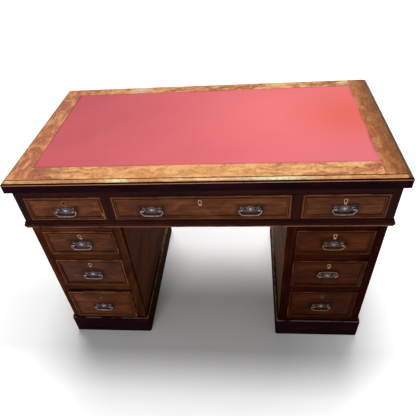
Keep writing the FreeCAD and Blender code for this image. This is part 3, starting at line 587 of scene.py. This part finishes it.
@contextmanager
def editing(obj):
    """Edit mode on one object, with its whole mesh selected"""
    alone(obj)
    bpy.ops.object.mode_set(mode="EDIT")
    bpy.ops.mesh.select_all(action="SELECT")
    yield
    bpy.ops.object.mode_set(mode="OBJECT")


def pick_edges(obj, test):
    """Selects only the edges of an edited mesh that pass a test"""
    bpy.ops.mesh.select_mode(type="EDGE")
    bpy.ops.mesh.select_all(action="DESELECT")
    for edge in bmesh.from_edit_mesh(obj.data).edges:
        edge.select_set(test(edge))
    bmesh.update_edit_mesh(obj.data)


def close_up(threshold=0.000005):
    """Welds the points of an edited mesh that meet, and turns its faces outwards"""
    bpy.ops.mesh.select_all(action="SELECT")
    bpy.ops.mesh.remove_doubles(threshold=threshold)
    bpy.ops.mesh.normals_make_consistent(inside=False)


def mark(obj, name, value_of, domain="FACE"):
    """A number on every face or point of a mesh, for the shaders"""
    layer = obj.data.attributes.get(name) or obj.data.attributes.new(name, "FLOAT", domain)
    for element, entry in zip(obj.data.polygons if domain == "FACE" else obj.data.vertices, layer.data):
        entry.value = float(value_of(element))


def dress(obj, body, finish, slot, *nodes):
    """Gives a finished piece its material and its body, and hides the CAD nodes that it stands for: slot is
    not used
    """
    if finish:
        obj.data.materials.append(finish)
    alone(obj)
    bpy.ops.object.shade_smooth_by_angle(angle=SMOOTH_BELOW)
    for face in obj.data.polygons:
        face.use_smooth = max(map(abs, face.normal)) < 0.9999
    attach(obj, body)
    if nodes:
        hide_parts(*nodes)
    return obj


print("CAD nodes to dress:", len(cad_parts))

# %% CAD nodes with eased edges
CARCASE = "carcase"
LOT_STEP = 0.371
SHARP_OVER = math.radians(25)
lots = iter(range(1, 10000))


def solids_of(node):
    """The triangles of a CAD node, solid by solid: a solid ends where every edge has been met twice"""
    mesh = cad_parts[node].data
    open_edges, solid, solids = set(), [], []
    for face in mesh.polygons:
        corners = [tuple(round(v, 7) for v in mesh.vertices[i].co) for i in face.vertices]
        if len(set(corners)) < 3:
            continue
        solid.append(corners)
        for a, b in zip(corners, corners[1:] + corners[:1]):
            open_edges ^= {frozenset((a, b))}
        if not open_edges:
            solids.append(solid)
            solid = []
    return solids


def longest(points):
    """The axis along which points spread farthest"""
    return max(range(3), key=lambda i: max(p[i] for p in points) - min(p[i] for p in points))


def eased(node, name, width=0.9, first=0, last=None):
    """A new object from some or all solids of a CAD node, with flat faces and eased edges"""
    made = bmesh.new()
    grain = made.faces.layers.float.new("grain")
    lot = made.faces.layers.float.new("lot")
    for index, solid in enumerate(solids_of(node)[:last]):
        number = next(lots)
        if index < first:
            continue
        places = {place for face in solid for place in face}
        verts = {place: made.verts.new(place) for place in sorted(places)}
        along = longest(places)
        for corners in solid:
            face = made.faces.new([verts[place] for place in corners])
            face[grain], face[lot] = along, number * LOT_STEP
    mesh = bpy.data.meshes.new(name)
    made.to_mesh(mesh)
    made.free()
    obj = linked(name, mesh)
    with editing(obj):
        bpy.ops.mesh.dissolve_limited(angle_limit=math.radians(1))
        pick_edges(obj, lambda edge: edge.calc_face_angle(0) > SHARP_OVER)
        bpy.ops.mesh.bevel(offset=width * MM, segments=2, affect="EDGES", clamp_overlap=True)
    mark(obj, "worn", lambda face: max(map(abs, face.normal)) < 0.97)
    return obj


top_board = dress(eased("top_board", "ground_board"), CARCASE, pine, "case_wood", "top_board")
print("Ground board:", len(solids_of("top_board")), "solids,", len(top_board.data.polygons), "faces")

# %% [markdown]
# ## Mouldings
# A joiner planes a moulding in one long strip, saws it at 45 degrees and lays it round a rectangle. The
# same shape comes from a rectangular outline that is extruded and resized for each step of the section:
# every ring is a rectangle, so the mitres are exact. A station of the section is a pair, how far in
# from the outer edge and how high above the face, in millimetres.

# %% A section carried round a rectangle


def arc(centre, radii, start, end, steps=6):
    """Stations on an arc, in degrees anticlockwise from the inset's own direction"""
    turns = [math.radians(start + (end - start) * i / steps) for i in range(steps + 1)]
    return [(centre[0] + radii[0] * math.cos(t), centre[1] + radii[1] * math.sin(t)) for t in turns]


def moulded_frame(name, low, high, level, stations, facing=2, filled=False):
    """A section carried round the rectangle from low to high: facing 2 looks up, facing 1 looks at -Y"""
    centre, size = (low + high) / 2, high - low
    centre[facing] = level
    axes = (0, 3 - facing)
    out, tilt = (Vector((0, 0, 1)), 0) if facing == 2 else (Vector((0, -1, 0)), math.pi / 2)

    def sides(station):
        """The lengths of the ring at a station"""
        return [size[axis] - 2 * station[0] * MM for axis in axes]

    bpy.ops.mesh.primitive_plane_add(size=1, location=centre, rotation=(tilt, 0, 0))
    obj = bpy.context.object
    obj.name = name
    obj.scale = (*sides(stations[0]), 1)
    bpy.ops.object.transform_apply(location=True, rotation=True, scale=True)
    with editing(obj):
        bpy.ops.transform.translate(value=out * (stations[0][1] * MM))
        bpy.ops.mesh.delete(type="ONLY_FACE")
        bpy.ops.mesh.select_mode(type="EDGE")
        bpy.ops.mesh.select_all(action="SELECT")
        if filled:
            bpy.ops.mesh.duplicate()
            bpy.ops.mesh.edge_face_add()
            bpy.ops.mesh.select_all(action="INVERT")
        for before, after in pairwise(stations):
            bpy.ops.mesh.extrude_edges_move()
            bpy.ops.transform.translate(value=out * ((after[1] - before[1]) * MM))
            ratio = [1, 1, 1]
            for axis, new, old in zip(axes, sides(after), sides(before)):
                ratio[axis] = new / old
            bpy.ops.transform.resize(value=ratio, center_override=centre + out * (after[1] * MM))
        if filled:
            bpy.ops.mesh.edge_face_add()
        close_up(0.00001)

    def runs_along(face):
        return longest([obj.data.vertices[v].co for v in face.vertices])

    first = next(lots) * 4
    mark(obj, "grain", runs_along)
    mark(obj, "lot", lambda face: LOT_STEP * (first + 2 * runs_along(face) + (face.center[0] > centre.x)))
    return obj


def inset_of(co, low, high, axes=(0, 1)):
    """How far a point lies inside a rectangle, in millimetres"""
    return min(min(co[i] - low[i], high[i] - co[i]) for i in axes) / MM


print("A quarter round in", len(arc((0, 0), (1, 1), 0, 90)), "stations")

# %% Edge of the top: polished down to the foot of the ovolo, then black, with painted shade in its quirks, and a worn bead
low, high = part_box("top_edge_moulding")
section = ([(16.5, -2.8), (14.9, -2.8)] + arc((16.5, -8), (13, 6.4), 97, 180, 9)
           + [(3.5, -9.2), (2.6, -9.2)] + arc((2, -11.2), (2, 2), 90, 270, 8)
           + [(1, -13.2), (1, -38.2), (1.8, -39), (16.5, -39), (16.5, -2.8)])
edge = moulded_frame("top_edge", low, high, high.z, section)
for finish in (edge_wood, fascia_and_shade_wood, bead_wood):
    edge.data.materials.append(finish)
# The quirk and the foot of the ovolo take the black fascia finish as painted shade, the bead its own finish
for face in edge.data.polygons:
    drop, inset = (high.z - face.center.z) / MM, inset_of(face.center, low, high)
    if drop < 5.6 and inset < 14.9:
        face.material_index = 0
    else:
        face.material_index = 2 if 9.2 < drop < 13.2 and inset < 2.1 else 1
mark(edge, "worn", lambda face: face.material_index == 2 and 9.6 < (high.z - face.center.z) / MM < 12.2
     and face.center.y < low.y + 4 * MM)
dress(edge, CARCASE, None, "border_wood", "top_edge_moulding")
print("Top edge:", len(edge.data.polygons), "faces")

# %% Waist moulding, cut off at the back of the frieze
low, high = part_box("waist_moulding")
section = ([(7.4, 0), (3, 0), (3, 4)] + arc((3, 11), (3, 7), -90, -270, 8)
           + [(3.4, 18), (3.4, 23)] + arc((3.4, 27), (4, 4), -90, 0, 5) + [(7.4, 0)])
waist = moulded_frame("waist", low, Vector((high.x, high.y + 0.1, high.z)), low.z, section)
with editing(waist):
    bpy.ops.mesh.bisect(plane_co=(0, high.y, 0), plane_no=(0, 1, 0), clear_outer=True)
    pick_edges(waist, lambda edge: edge.is_boundary)
    bpy.ops.mesh.edge_face_add()
    close_up()
mark(waist, "worn", lambda face: face.center.z < low.z + 4.3 * MM and face.normal.z < 0.5)
dress(waist, CARCASE, waist_wood, "dark_wood", "waist_moulding")
print("Waist:", len(waist.data.polygons), "faces")

# %% Plinths, with round corners and with the CAD model's corner blocks
PLINTH_BOARDS = 4
section = [(22, 0), (0.8, 0), (0, 0.8), (0, 83)] + arc((8, 83), (8, 8), 180, 90, 6) + [(22, 91), (22, 0)]


def on_corner(vert):
    """On an outer corner of the plinth"""
    across, back = (inset_of(vert.co, low, high, (axis,)) for axis in (0, 1))
    return across < 8.1 and abs(across - back) < 0.01


for node in ("left_plinth", "right_plinth"):
    low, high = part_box(node)
    frame = moulded_frame(node + "_boards", low, high, low.z, section)
    with editing(frame):
        pick_edges(frame, lambda edge: all(map(on_corner, edge.verts)) and edge.calc_length() < 0.1)
        bpy.ops.mesh.bevel(offset=7.5 * MM, segments=4, affect="EDGES", clamp_overlap=True)
    # The round of the top is marked worn: its pale line is partly wear and partly a painted highlight
    mark(frame, "worn", lambda face: low.z + 86.5 * MM < face.center.z < low.z + 90 * MM
         and inset_of(face.center, low, high) < 8)
    dress(eased(node, node + "_blocks", first=PLINTH_BOARDS), CARCASE, pine, "case_wood")
    dress(frame, CARCASE, plinth_wood, "dark_wood", node)
    print(node, len(frame.data.polygons), "faces")

# %% [markdown]
# ## The top
# The writing surface is a skin of leather glued flush with its veneered border. It isn't quite
# square-edged: the skin rolls down a little where it meets the wood, and a blind line is tooled near
# its edge. So it is made as a moulding too, and its last ring is filled.

# %% Leather and border
low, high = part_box("leather_inset")
section = [(0, -2.4), (0, -0.8), (0.5, -0.25), (1.4, 0), (2.6, 0), (5.2, 0), (5.5, -0.25), (6.1, -0.25),
           (6.4, 0), (30, 0)]
skin = moulded_frame("leather_skin", low, high, high.z, section, filled=True)
mark(skin, "worn", lambda face: inset_of(face.center, low, high) < 2.5
     or 5.2 < inset_of(face.center, low, high) < 6.4)
dress(skin, CARCASE, leather, "leather", "leather_inset")
border = eased("top_border", "border_boards", 0.6)
mark(border, "dirt_and_shade", lambda vert: vert.co.z < high.z - 0.5 * MM, "POINT")
dress(border, CARCASE, border_wood, "border_wood", "top_border")
print("Leather", [round(v, 3) for v in skin.dimensions], "border faces", len(border.data.polygons))

# %% Frames and cases: the frames' edges round the drawers are darkened, not worn
for node, finish, slot in (
        ("frieze_front_frame", frieze_wood, "dark_wood"), ("frieze_case", frieze_wood, "case_wood"),
        ("left_pedestal_front_frame", pedestal_wood, "dark_wood"),
        ("right_pedestal_front_frame", right_wood, "dark_wood"),
        ("left_pedestal_case", side_wood, "case_wood"), ("right_pedestal_case", side_wood, "case_wood"),
        ("drawer_runners", pine, "case_wood")):
    obj = eased(node, node + "_boards")
    if node.endswith("frame"):
        low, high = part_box(node)
        worn = [entry.value for entry in obj.data.attributes["worn"].data]
        inner = [inset_of(face.center, low, high, (0, 2)) > 3 for face in obj.data.polygons]
        mark(obj, "dirt_and_shade", lambda face: worn[face.index] * inner[face.index])
        mark(obj, "worn", lambda face: worn[face.index] * (not inner[face.index]))
    dress(obj, CARCASE, finish, slot, node)
    print(node, len(obj.data.polygons), "faces")

# %% [markdown]
# ## Drawers
# A drawer front here is a plain board faced with figured veneer and edged with an applied moulding: a
# raised band, a fine groove and a bead, mitred at the corners. The dovetailed board is copied from
# the CAD model, and the facing with its moulding is modelled fine and set on it. The groove is
# marked dark as dirt and painted shade, and the field beside the bead as a painted shadow. A keyhole
# is cut with a boolean.

# %% Where things are on a drawer front, with lines cut round a handle to hold its darker patch
FACING = ([(0, 0), (0, 1.4)] + arc((1.8, 1.4), (1.8, 1.8), 180, 90, 4)
          + [(5.4, 3.2), (6, 2.2), (8.2, 2.2), (8.7, 3.1)] + arc((10.4, 3.2), (1.6, 1), 180, 0, 6)
          + [(12, 0.25), (14.5, 0.25), (21, 0.25), (30, 0.25)])
BAYS = ["frieze_left", "frieze_centre", "frieze_right"] + [
    side + "_" + place for side in ("left", "right") for place in ("top", "middle", "bottom")]
MOULDING = 12
HALO_X, HALO_Z = (-54, -37, 37, 54), (-30, -18, 15, 28)
DARK_HALF_X, DARK_HALF_Z = 38, 19
KEYHOLE_BELOW_TOP = 22 * MM
PLATE_BELOW = 15.95 * MM
BOARD = 20 * MM


def front_of(bay):
    """Lowest and highest corner of a drawer's front board, and the level of its face"""
    low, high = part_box(bay + "_drawer_front")
    return low, high, high.y - BOARD


def middle_x(node):
    """The middle of a CAD node from left to right"""
    return sum(corner.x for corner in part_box(node)) / 2


def keyhole_of(bay, behind):
    """The centre of a drawer's keyhole, some millimetres behind its face"""
    low, high, face = front_of(bay)
    return Vector((middle_x(bay + "_lock"), face + behind * MM, high.z - KEYHOLE_BELOW_TOP))


def handles_of(bay):
    """The bails of a drawer and the places of their plates: only the centre drawer has two handles"""
    nodes = [bay + end + "_bail" for end in (("_left", "_right") if bay == "frieze_centre" else ("",))]
    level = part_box(bay + "_handle_plate")[0].z + PLATE_BELOW
    return {node: Vector((middle_x(node), front_of(bay)[2], level)) for node in nodes}


print("Handles:", sum(len(handles_of(bay)) for bay in BAYS))

# %% Flat pieces


def meshed(name, curve):
    """A curve as a closed mesh in the scene"""
    obj = linked(name, curve)
    alone(obj)
    bpy.ops.object.convert(target="MESH")
    with editing(obj):
        close_up()
    return obj


def flat_piece(name, outlines, thickness, ease):
    """A plate with eased edges from closed outlines in X and Z, its back at y = 0, its face at -thickness:
    an outline is smooth but at the points that have a third entry"""
    curve = bpy.data.curves.new(name, "CURVE")
    curve.dimensions, curve.fill_mode = "2D", "BOTH"
    curve.extrude = (thickness / 2 - ease) * MM
    curve.bevel_depth, curve.offset, curve.bevel_resolution = ease * MM, -ease * MM, 1
    for points in outlines:
        spline = curve.splines.new("BEZIER")
        spline.bezier_points.add(len(points) - 1)
        spline.use_cyclic_u, spline.resolution_u = True, 5
        for place, (x, z, *sharp) in zip(spline.bezier_points, points):
            place.co = (x * MM, z * MM, 0)
            place.handle_left_type = place.handle_right_type = "VECTOR" if sharp else "AUTO"
    obj = meshed(name, curve)
    obj.data.transform(Matrix.Translation((0, -thickness / 2 * MM, 0)) @ Matrix.Rotation(math.pi / 2, 4, "X"))
    return obj


def keyhole_outline(radius, foot, length):
    """Sharp points round a keyhole about the centre of its head, in millimetres"""
    turns = [math.radians(-40 + 260 * i / 14) for i in range(15)]
    head = [(radius * math.cos(turn), radius * math.sin(turn)) for turn in turns]
    return [(x, z, "sharp") for x, z in head + [(-foot / 2, -length), (foot / 2, -length)]]


keyway = flat_piece("keyway", [keyhole_outline(3.7, 3.4, 10.2)], 12, 0.01)
print("Keyway:", [round(v / MM, 1) for v in keyway.dimensions], "mm")

# %% Copies and cuts


def placed(master, name, shift, turn=Matrix()):
    """A copy of a finished piece with its own mesh, turned and then moved"""
    obj = linked(name, master.data.copy())
    obj.data.transform(Matrix.Translation(shift) @ turn)
    return obj


def joined(*objs):
    """Several pieces as one with the first one's name"""
    alone(objs[0])
    for obj in objs:
        obj.select_set(True)
    bpy.ops.object.join()
    return objs[0]


def cut_with(obj, tool):
    """Cuts the shape of a tool out of obj, and removes the tool"""
    alone(obj)
    cut = obj.modifiers.new("cut", "BOOLEAN")
    cut.operation, cut.object = "DIFFERENCE", tool
    bpy.ops.object.modifier_apply(modifier="cut")
    bpy.data.objects.remove(tool)


def slice_up(obj, cuts):
    """Cuts a piece through by planes, each a place in metres and an axis"""
    with editing(obj):
        for place, axis in cuts:
            bpy.ops.mesh.select_all(action="SELECT")
            spot, way = Vector(), Vector()
            spot[axis], way[axis] = place, 1
            bpy.ops.mesh.bisect(plane_co=spot, plane_no=way)


print("Copies of the keyway to come:", len(BAYS))

# %% Facings


def facing_of(bay):
    """The veneered face of a drawer with its moulding and keyhole, worn, dirty and with painted shade"""
    low, high, face = front_of(bay)
    facing = moulded_frame(bay + "_facing", low, high, face, FACING, facing=1, filled=True)
    depths = [inset_of(f.center, low, high, (0, 2)) for f in facing.data.polygons]
    field = depths.index(max(depths))
    for name in ("grain", "lot"):
        values = [entry.value for entry in facing.data.attributes[name].data]
        mark(facing, name, lambda f: values[field if depths[f.index] > MOULDING else f.index])
    mark(facing, "worn", lambda f: (depths[f.index] < 1.7 and f.center.y < face - 1.2 * MM)
         or 0.3 * (f.center.y < face - 3.95 * MM))
    plates = list(handles_of(bay).values())
    slice_up(facing, [(plate.x + step * MM, 0) for plate in plates for step in HALO_X]
             + [(plates[0].z + step * MM, 2) for step in HALO_Z])

    def darkening(vert):
        """Dark points: dirt and painted shade in the groove, a painted shadow on the field beside the
        moulding, and a darker patch round the handles
        """
        inset, rise = inset_of(vert.co, low, high, (0, 2)), (face - vert.co.y) / MM
        if inset <= MOULDING - 0.1 or rise >= 1:
            return 5.8 < inset < 8.4
        ways = [(vert.co - plate) / MM for plate in plates]
        near_handle = any(abs(way.x) < DARK_HALF_X and abs(way.z) < DARK_HALF_Z for way in ways)
        return max(0.3 * (1 - (inset - MOULDING) / 9), 0.7 * near_handle)

    mark(facing, "dirt_and_shade", darkening, "POINT")
    cut_with(facing, placed(keyway, "tool", keyhole_of(bay, 4)))
    return facing


print("Stations of the drawer moulding:", len(FACING))

# %% Fronts, boxes and locks
for bay in BAYS:
    low, high, face = front_of(bay)
    body = bay + "_drawer"
    facing = facing_of(bay)
    board = eased(body + "_front", bay + "_front", 0.7, last=1)
    if bay == "left_bottom":  # It stands open, and its top gets painted light and shade
        # The front of its top is worn pale, partly a painted highlight, and the top behind it is darkened as
        # the rail's painted shadow
        slice_up(board, [(face + 4 * MM, 1), (face + 5 * MM, 1)])
        mark(board, "worn", lambda f: f.normal.z > 0.7 and f.center.z > high.z - 2 * MM
             and f.center.y < face + 5 * MM)
        mark(board, "dirt_and_shade", lambda v: v.co.z > high.z - 2 * MM and v.co.y > face + 4.5 * MM, "POINT")
    front = dress(joined(board, facing), body, drawer_woods[bay.split("_")[0]], "front_wood", body + "_front")
    box = dress(eased(body + "_box", bay + "_box", 0.7), body, pine, "lining_wood", body + "_box")
    lock = eased(bay + "_lock", bay + "_lock_case", 0.5, last=1)
    mark(lock, "dirt_and_shade", lambda f: 1)
    dress(lock, body, iron, "brass", bay + "_lock")
    print(bay, len(front.data.polygons), "front,", len(box.data.polygons), "box faces")
bpy.data.objects.remove(keyway)

# %% [markdown]
# ## Handles
# Each handle is a pierced cast plate with bat-wing ends and a round boss, two turned posts whose
# shanks pass through the drawer front, and a bail that swings between them. One of each is modelled at the
# origin: the plate as an outline with two holes, the boss and the posts as spun sections, the bail as a
# bent wire of changing thickness. Then they are copied to every drawer.

# %% Turned pieces


def spun(name, section, steps=24, at=0):
    """A section of radius and depth in millimetres, spun about the line along Y through x = at"""
    x, radius, depth = at * MM, *section[0]
    bpy.ops.mesh.primitive_plane_add(size=0.001)
    obj = bpy.context.object
    obj.name = name
    with editing(obj):
        bpy.ops.mesh.select_mode(type="VERT")
        bpy.ops.mesh.merge(type="CENTER")
        bpy.ops.mesh.select_all(action="SELECT")
        bpy.ops.transform.translate(value=(x + radius * MM, -depth * MM, 0))
        for before, after in pairwise(section):
            step = ((after[0] - before[0]) * MM, (before[1] - after[1]) * MM, 0)
            bpy.ops.mesh.extrude_vertices_move(TRANSFORM_OT_translate={"value": step})
        bpy.ops.mesh.select_all(action="SELECT")
        bpy.ops.mesh.spin(steps=steps, angle=math.tau, center=(x, 0, 0), axis=(0, 1, 0))
        close_up()
    return obj


boss = spun("boss", [
    (0, 1.4), (9, 1.4), (9, 2.3), (8.6, 2.8), (8, 2.8), (7.4, 2.3), (6.8, 2.3), (6.6, 3), (6.1, 4.4),
    (5.1, 5.5), (3.7, 6.3), (1.9, 6.8), (0, 7)])
print("Boss:", len(boss.data.polygons), "faces")

# %% Handle plate, posts, washers and nuts
PIVOT, POST = 9, 27
half = [(0, 10.6), (5.2, 10.2), (9.4, 8.2), (13.5, 6.2), (18.5, 5.9), (24, 8.2), (30.6, 13, "sharp"),
        (30, 6.6), (34.5, 3.2, "sharp"), (32, -1), (30.2, -4.4, "sharp"), (24.5, -9.4), (17, -13.2),
        (8.5, -15.4), (0, -15.9)]
outline = half + [(-x, z, *sharp) for x, z, *sharp in half[-2:0:-1]]
piercing = [(13.4, 0.4), (16.4, 3.3), (20.2, 1.2), (19.4, -3.4), (14.8, -3.6)]
piercings = [[(way * x, z) for x, z in piercing] for way in (-1, 1)]
plate = flat_piece("plate", [outline, *piercings], 1.6, 0.35)
posts = []
for x in (-POST, POST):
    head = spun("post", [
        (0, -24.5), (1.7, -24.5), (2, -24.2), (2, 1.5), (4.2, 1.5), (4.4, 2), (4.2, 2.6), (3, 3.2),
        (2.5, 4.2), (2.8, 5.4), (3.6, 6.4), (4, 7.8), (4, 10), (3.7, 11.3), (2.9, 12.3), (1.6, 12.9),
        (0, 13)], 18, x)
    eye = spun("eye", [(0, -6), (1.5, -6), (1.5, 6), (0, 6)], 14)
    eye.data.transform(Matrix.Translation((x * MM, -PIVOT * MM, 0)) @ Matrix.Rotation(math.pi / 2, 4, "Z"))
    cut_with(head, eye)
    washer = spun("washer", [(2, -20), (4.5, -20), (4.7, -20.3), (4.5, -20.7), (2, -20.7), (2, -20)], 20, x)
    nut = spun("nut", [
        (2, -20.7), (3.6, -20.7), (4, -21.1), (4, -23), (3.6, -23.4), (2, -23.4), (2, -20.7)], 6, x)
    posts += [head, washer, nut]
handle = joined(plate, boss, *posts)


def tarnish(face):
    """Dull on the flat of the plate and in the turned hollows, bright everywhere else"""
    x, depth, z = face.center.x / MM, -face.center.y / MM, face.center.z / MM
    flat = 1.5 < depth < 1.65 and face.normal.y < -0.9
    ring = 2.2 < depth < 2.7 and 6.5 < math.hypot(x, z) < 8.1
    return flat or ring or (3 < depth < 5 and math.hypot(abs(x) - POST, z) < 3.1)


mark(handle, "dirt_and_shade", tarnish)
print("Handle plate with posts:", len(handle.data.polygons), "faces")

# %% Bail, as a path of x, z and radius
path = [(24, 0, 1.4), (29, 0, 1.4), (31.2, -0.2, 1.7), (34.2, -1.2, 2.1), (35.4, -4.6, 2),
        (34, -9, 1.8), (31.2, -13.2, 1.8), (28.4, -16.8, 1.9), (25.6, -18.6, 2.1), (19, -19.3, 2),
        (10, -19.7, 2.1), (0, -19.9, 2.2)]
path += [(-x, z, r) for x, z, r in path[-2::-1]]
wire = bpy.data.curves.new("bail", "CURVE")
wire.dimensions, wire.bevel_depth, wire.bevel_resolution, wire.use_fill_caps = "3D", MM, 3, True
line = wire.splines.new("BEZIER")
line.bezier_points.add(len(path) - 1)
line.resolution_u = 5
for place, (x, z, radius) in zip(line.bezier_points, path):
    place.co, place.radius = (x * MM, -PIVOT * MM, z * MM), radius
    place.handle_left_type = place.handle_right_type = "AUTO"
bail = meshed("bail", wire)
print("Bail:", [round(v / MM, 1) for v in bail.dimensions], "mm")

# %% Handles on every drawer, with one bail raised by some degrees
RAISED = {"right_middle": -190}
pin = Matrix.Translation((0, -PIVOT * MM, 0))
for bay in BAYS:
    finish, wire_finish = (copper_tint, bail_brown) if bay.startswith("right") else (pewter, bail_grey)
    turn = pin @ Matrix.Rotation(math.radians(RAISED.get(bay, 0)), 4, "X") @ pin.inverted()
    plates = []
    for node, shift in handles_of(bay).items():
        plates.append(placed(handle, node.replace("bail", "handle"), shift))
        dress(placed(bail, node + "_wire", shift, turn), node, wire_finish, "pewter", node)
    dress(joined(*plates), bay + "_drawer", finish, "pewter", bay + "_handle_plate")
bpy.data.objects.remove(handle)
bpy.data.objects.remove(bail)

# %% Escutcheons, some dull and some turned by a few degrees
rim = flat_piece("escutcheon", [keyhole_outline(6.2, 7.6, 14.6), keyhole_outline(3.9, 3.6, 10.4)], 4.6, 0.3)
DULL = {"frieze_left", "left_bottom", "right_bottom"}
TURNED = {"frieze_left": -16, "left_top": -24, "left_middle": 12}
for bay in BAYS:
    turn = Matrix.Rotation(math.radians(TURNED.get(bay, 0)), 4, "Y")
    plate = placed(rim, bay + "_escutcheon", keyhole_of(bay, 3.8), turn)
    dress(plate, bay + "_drawer", dull_brass if bay in DULL else brass, "brass")
bpy.data.objects.remove(rim)
print("Escutcheons:", len(BAYS))
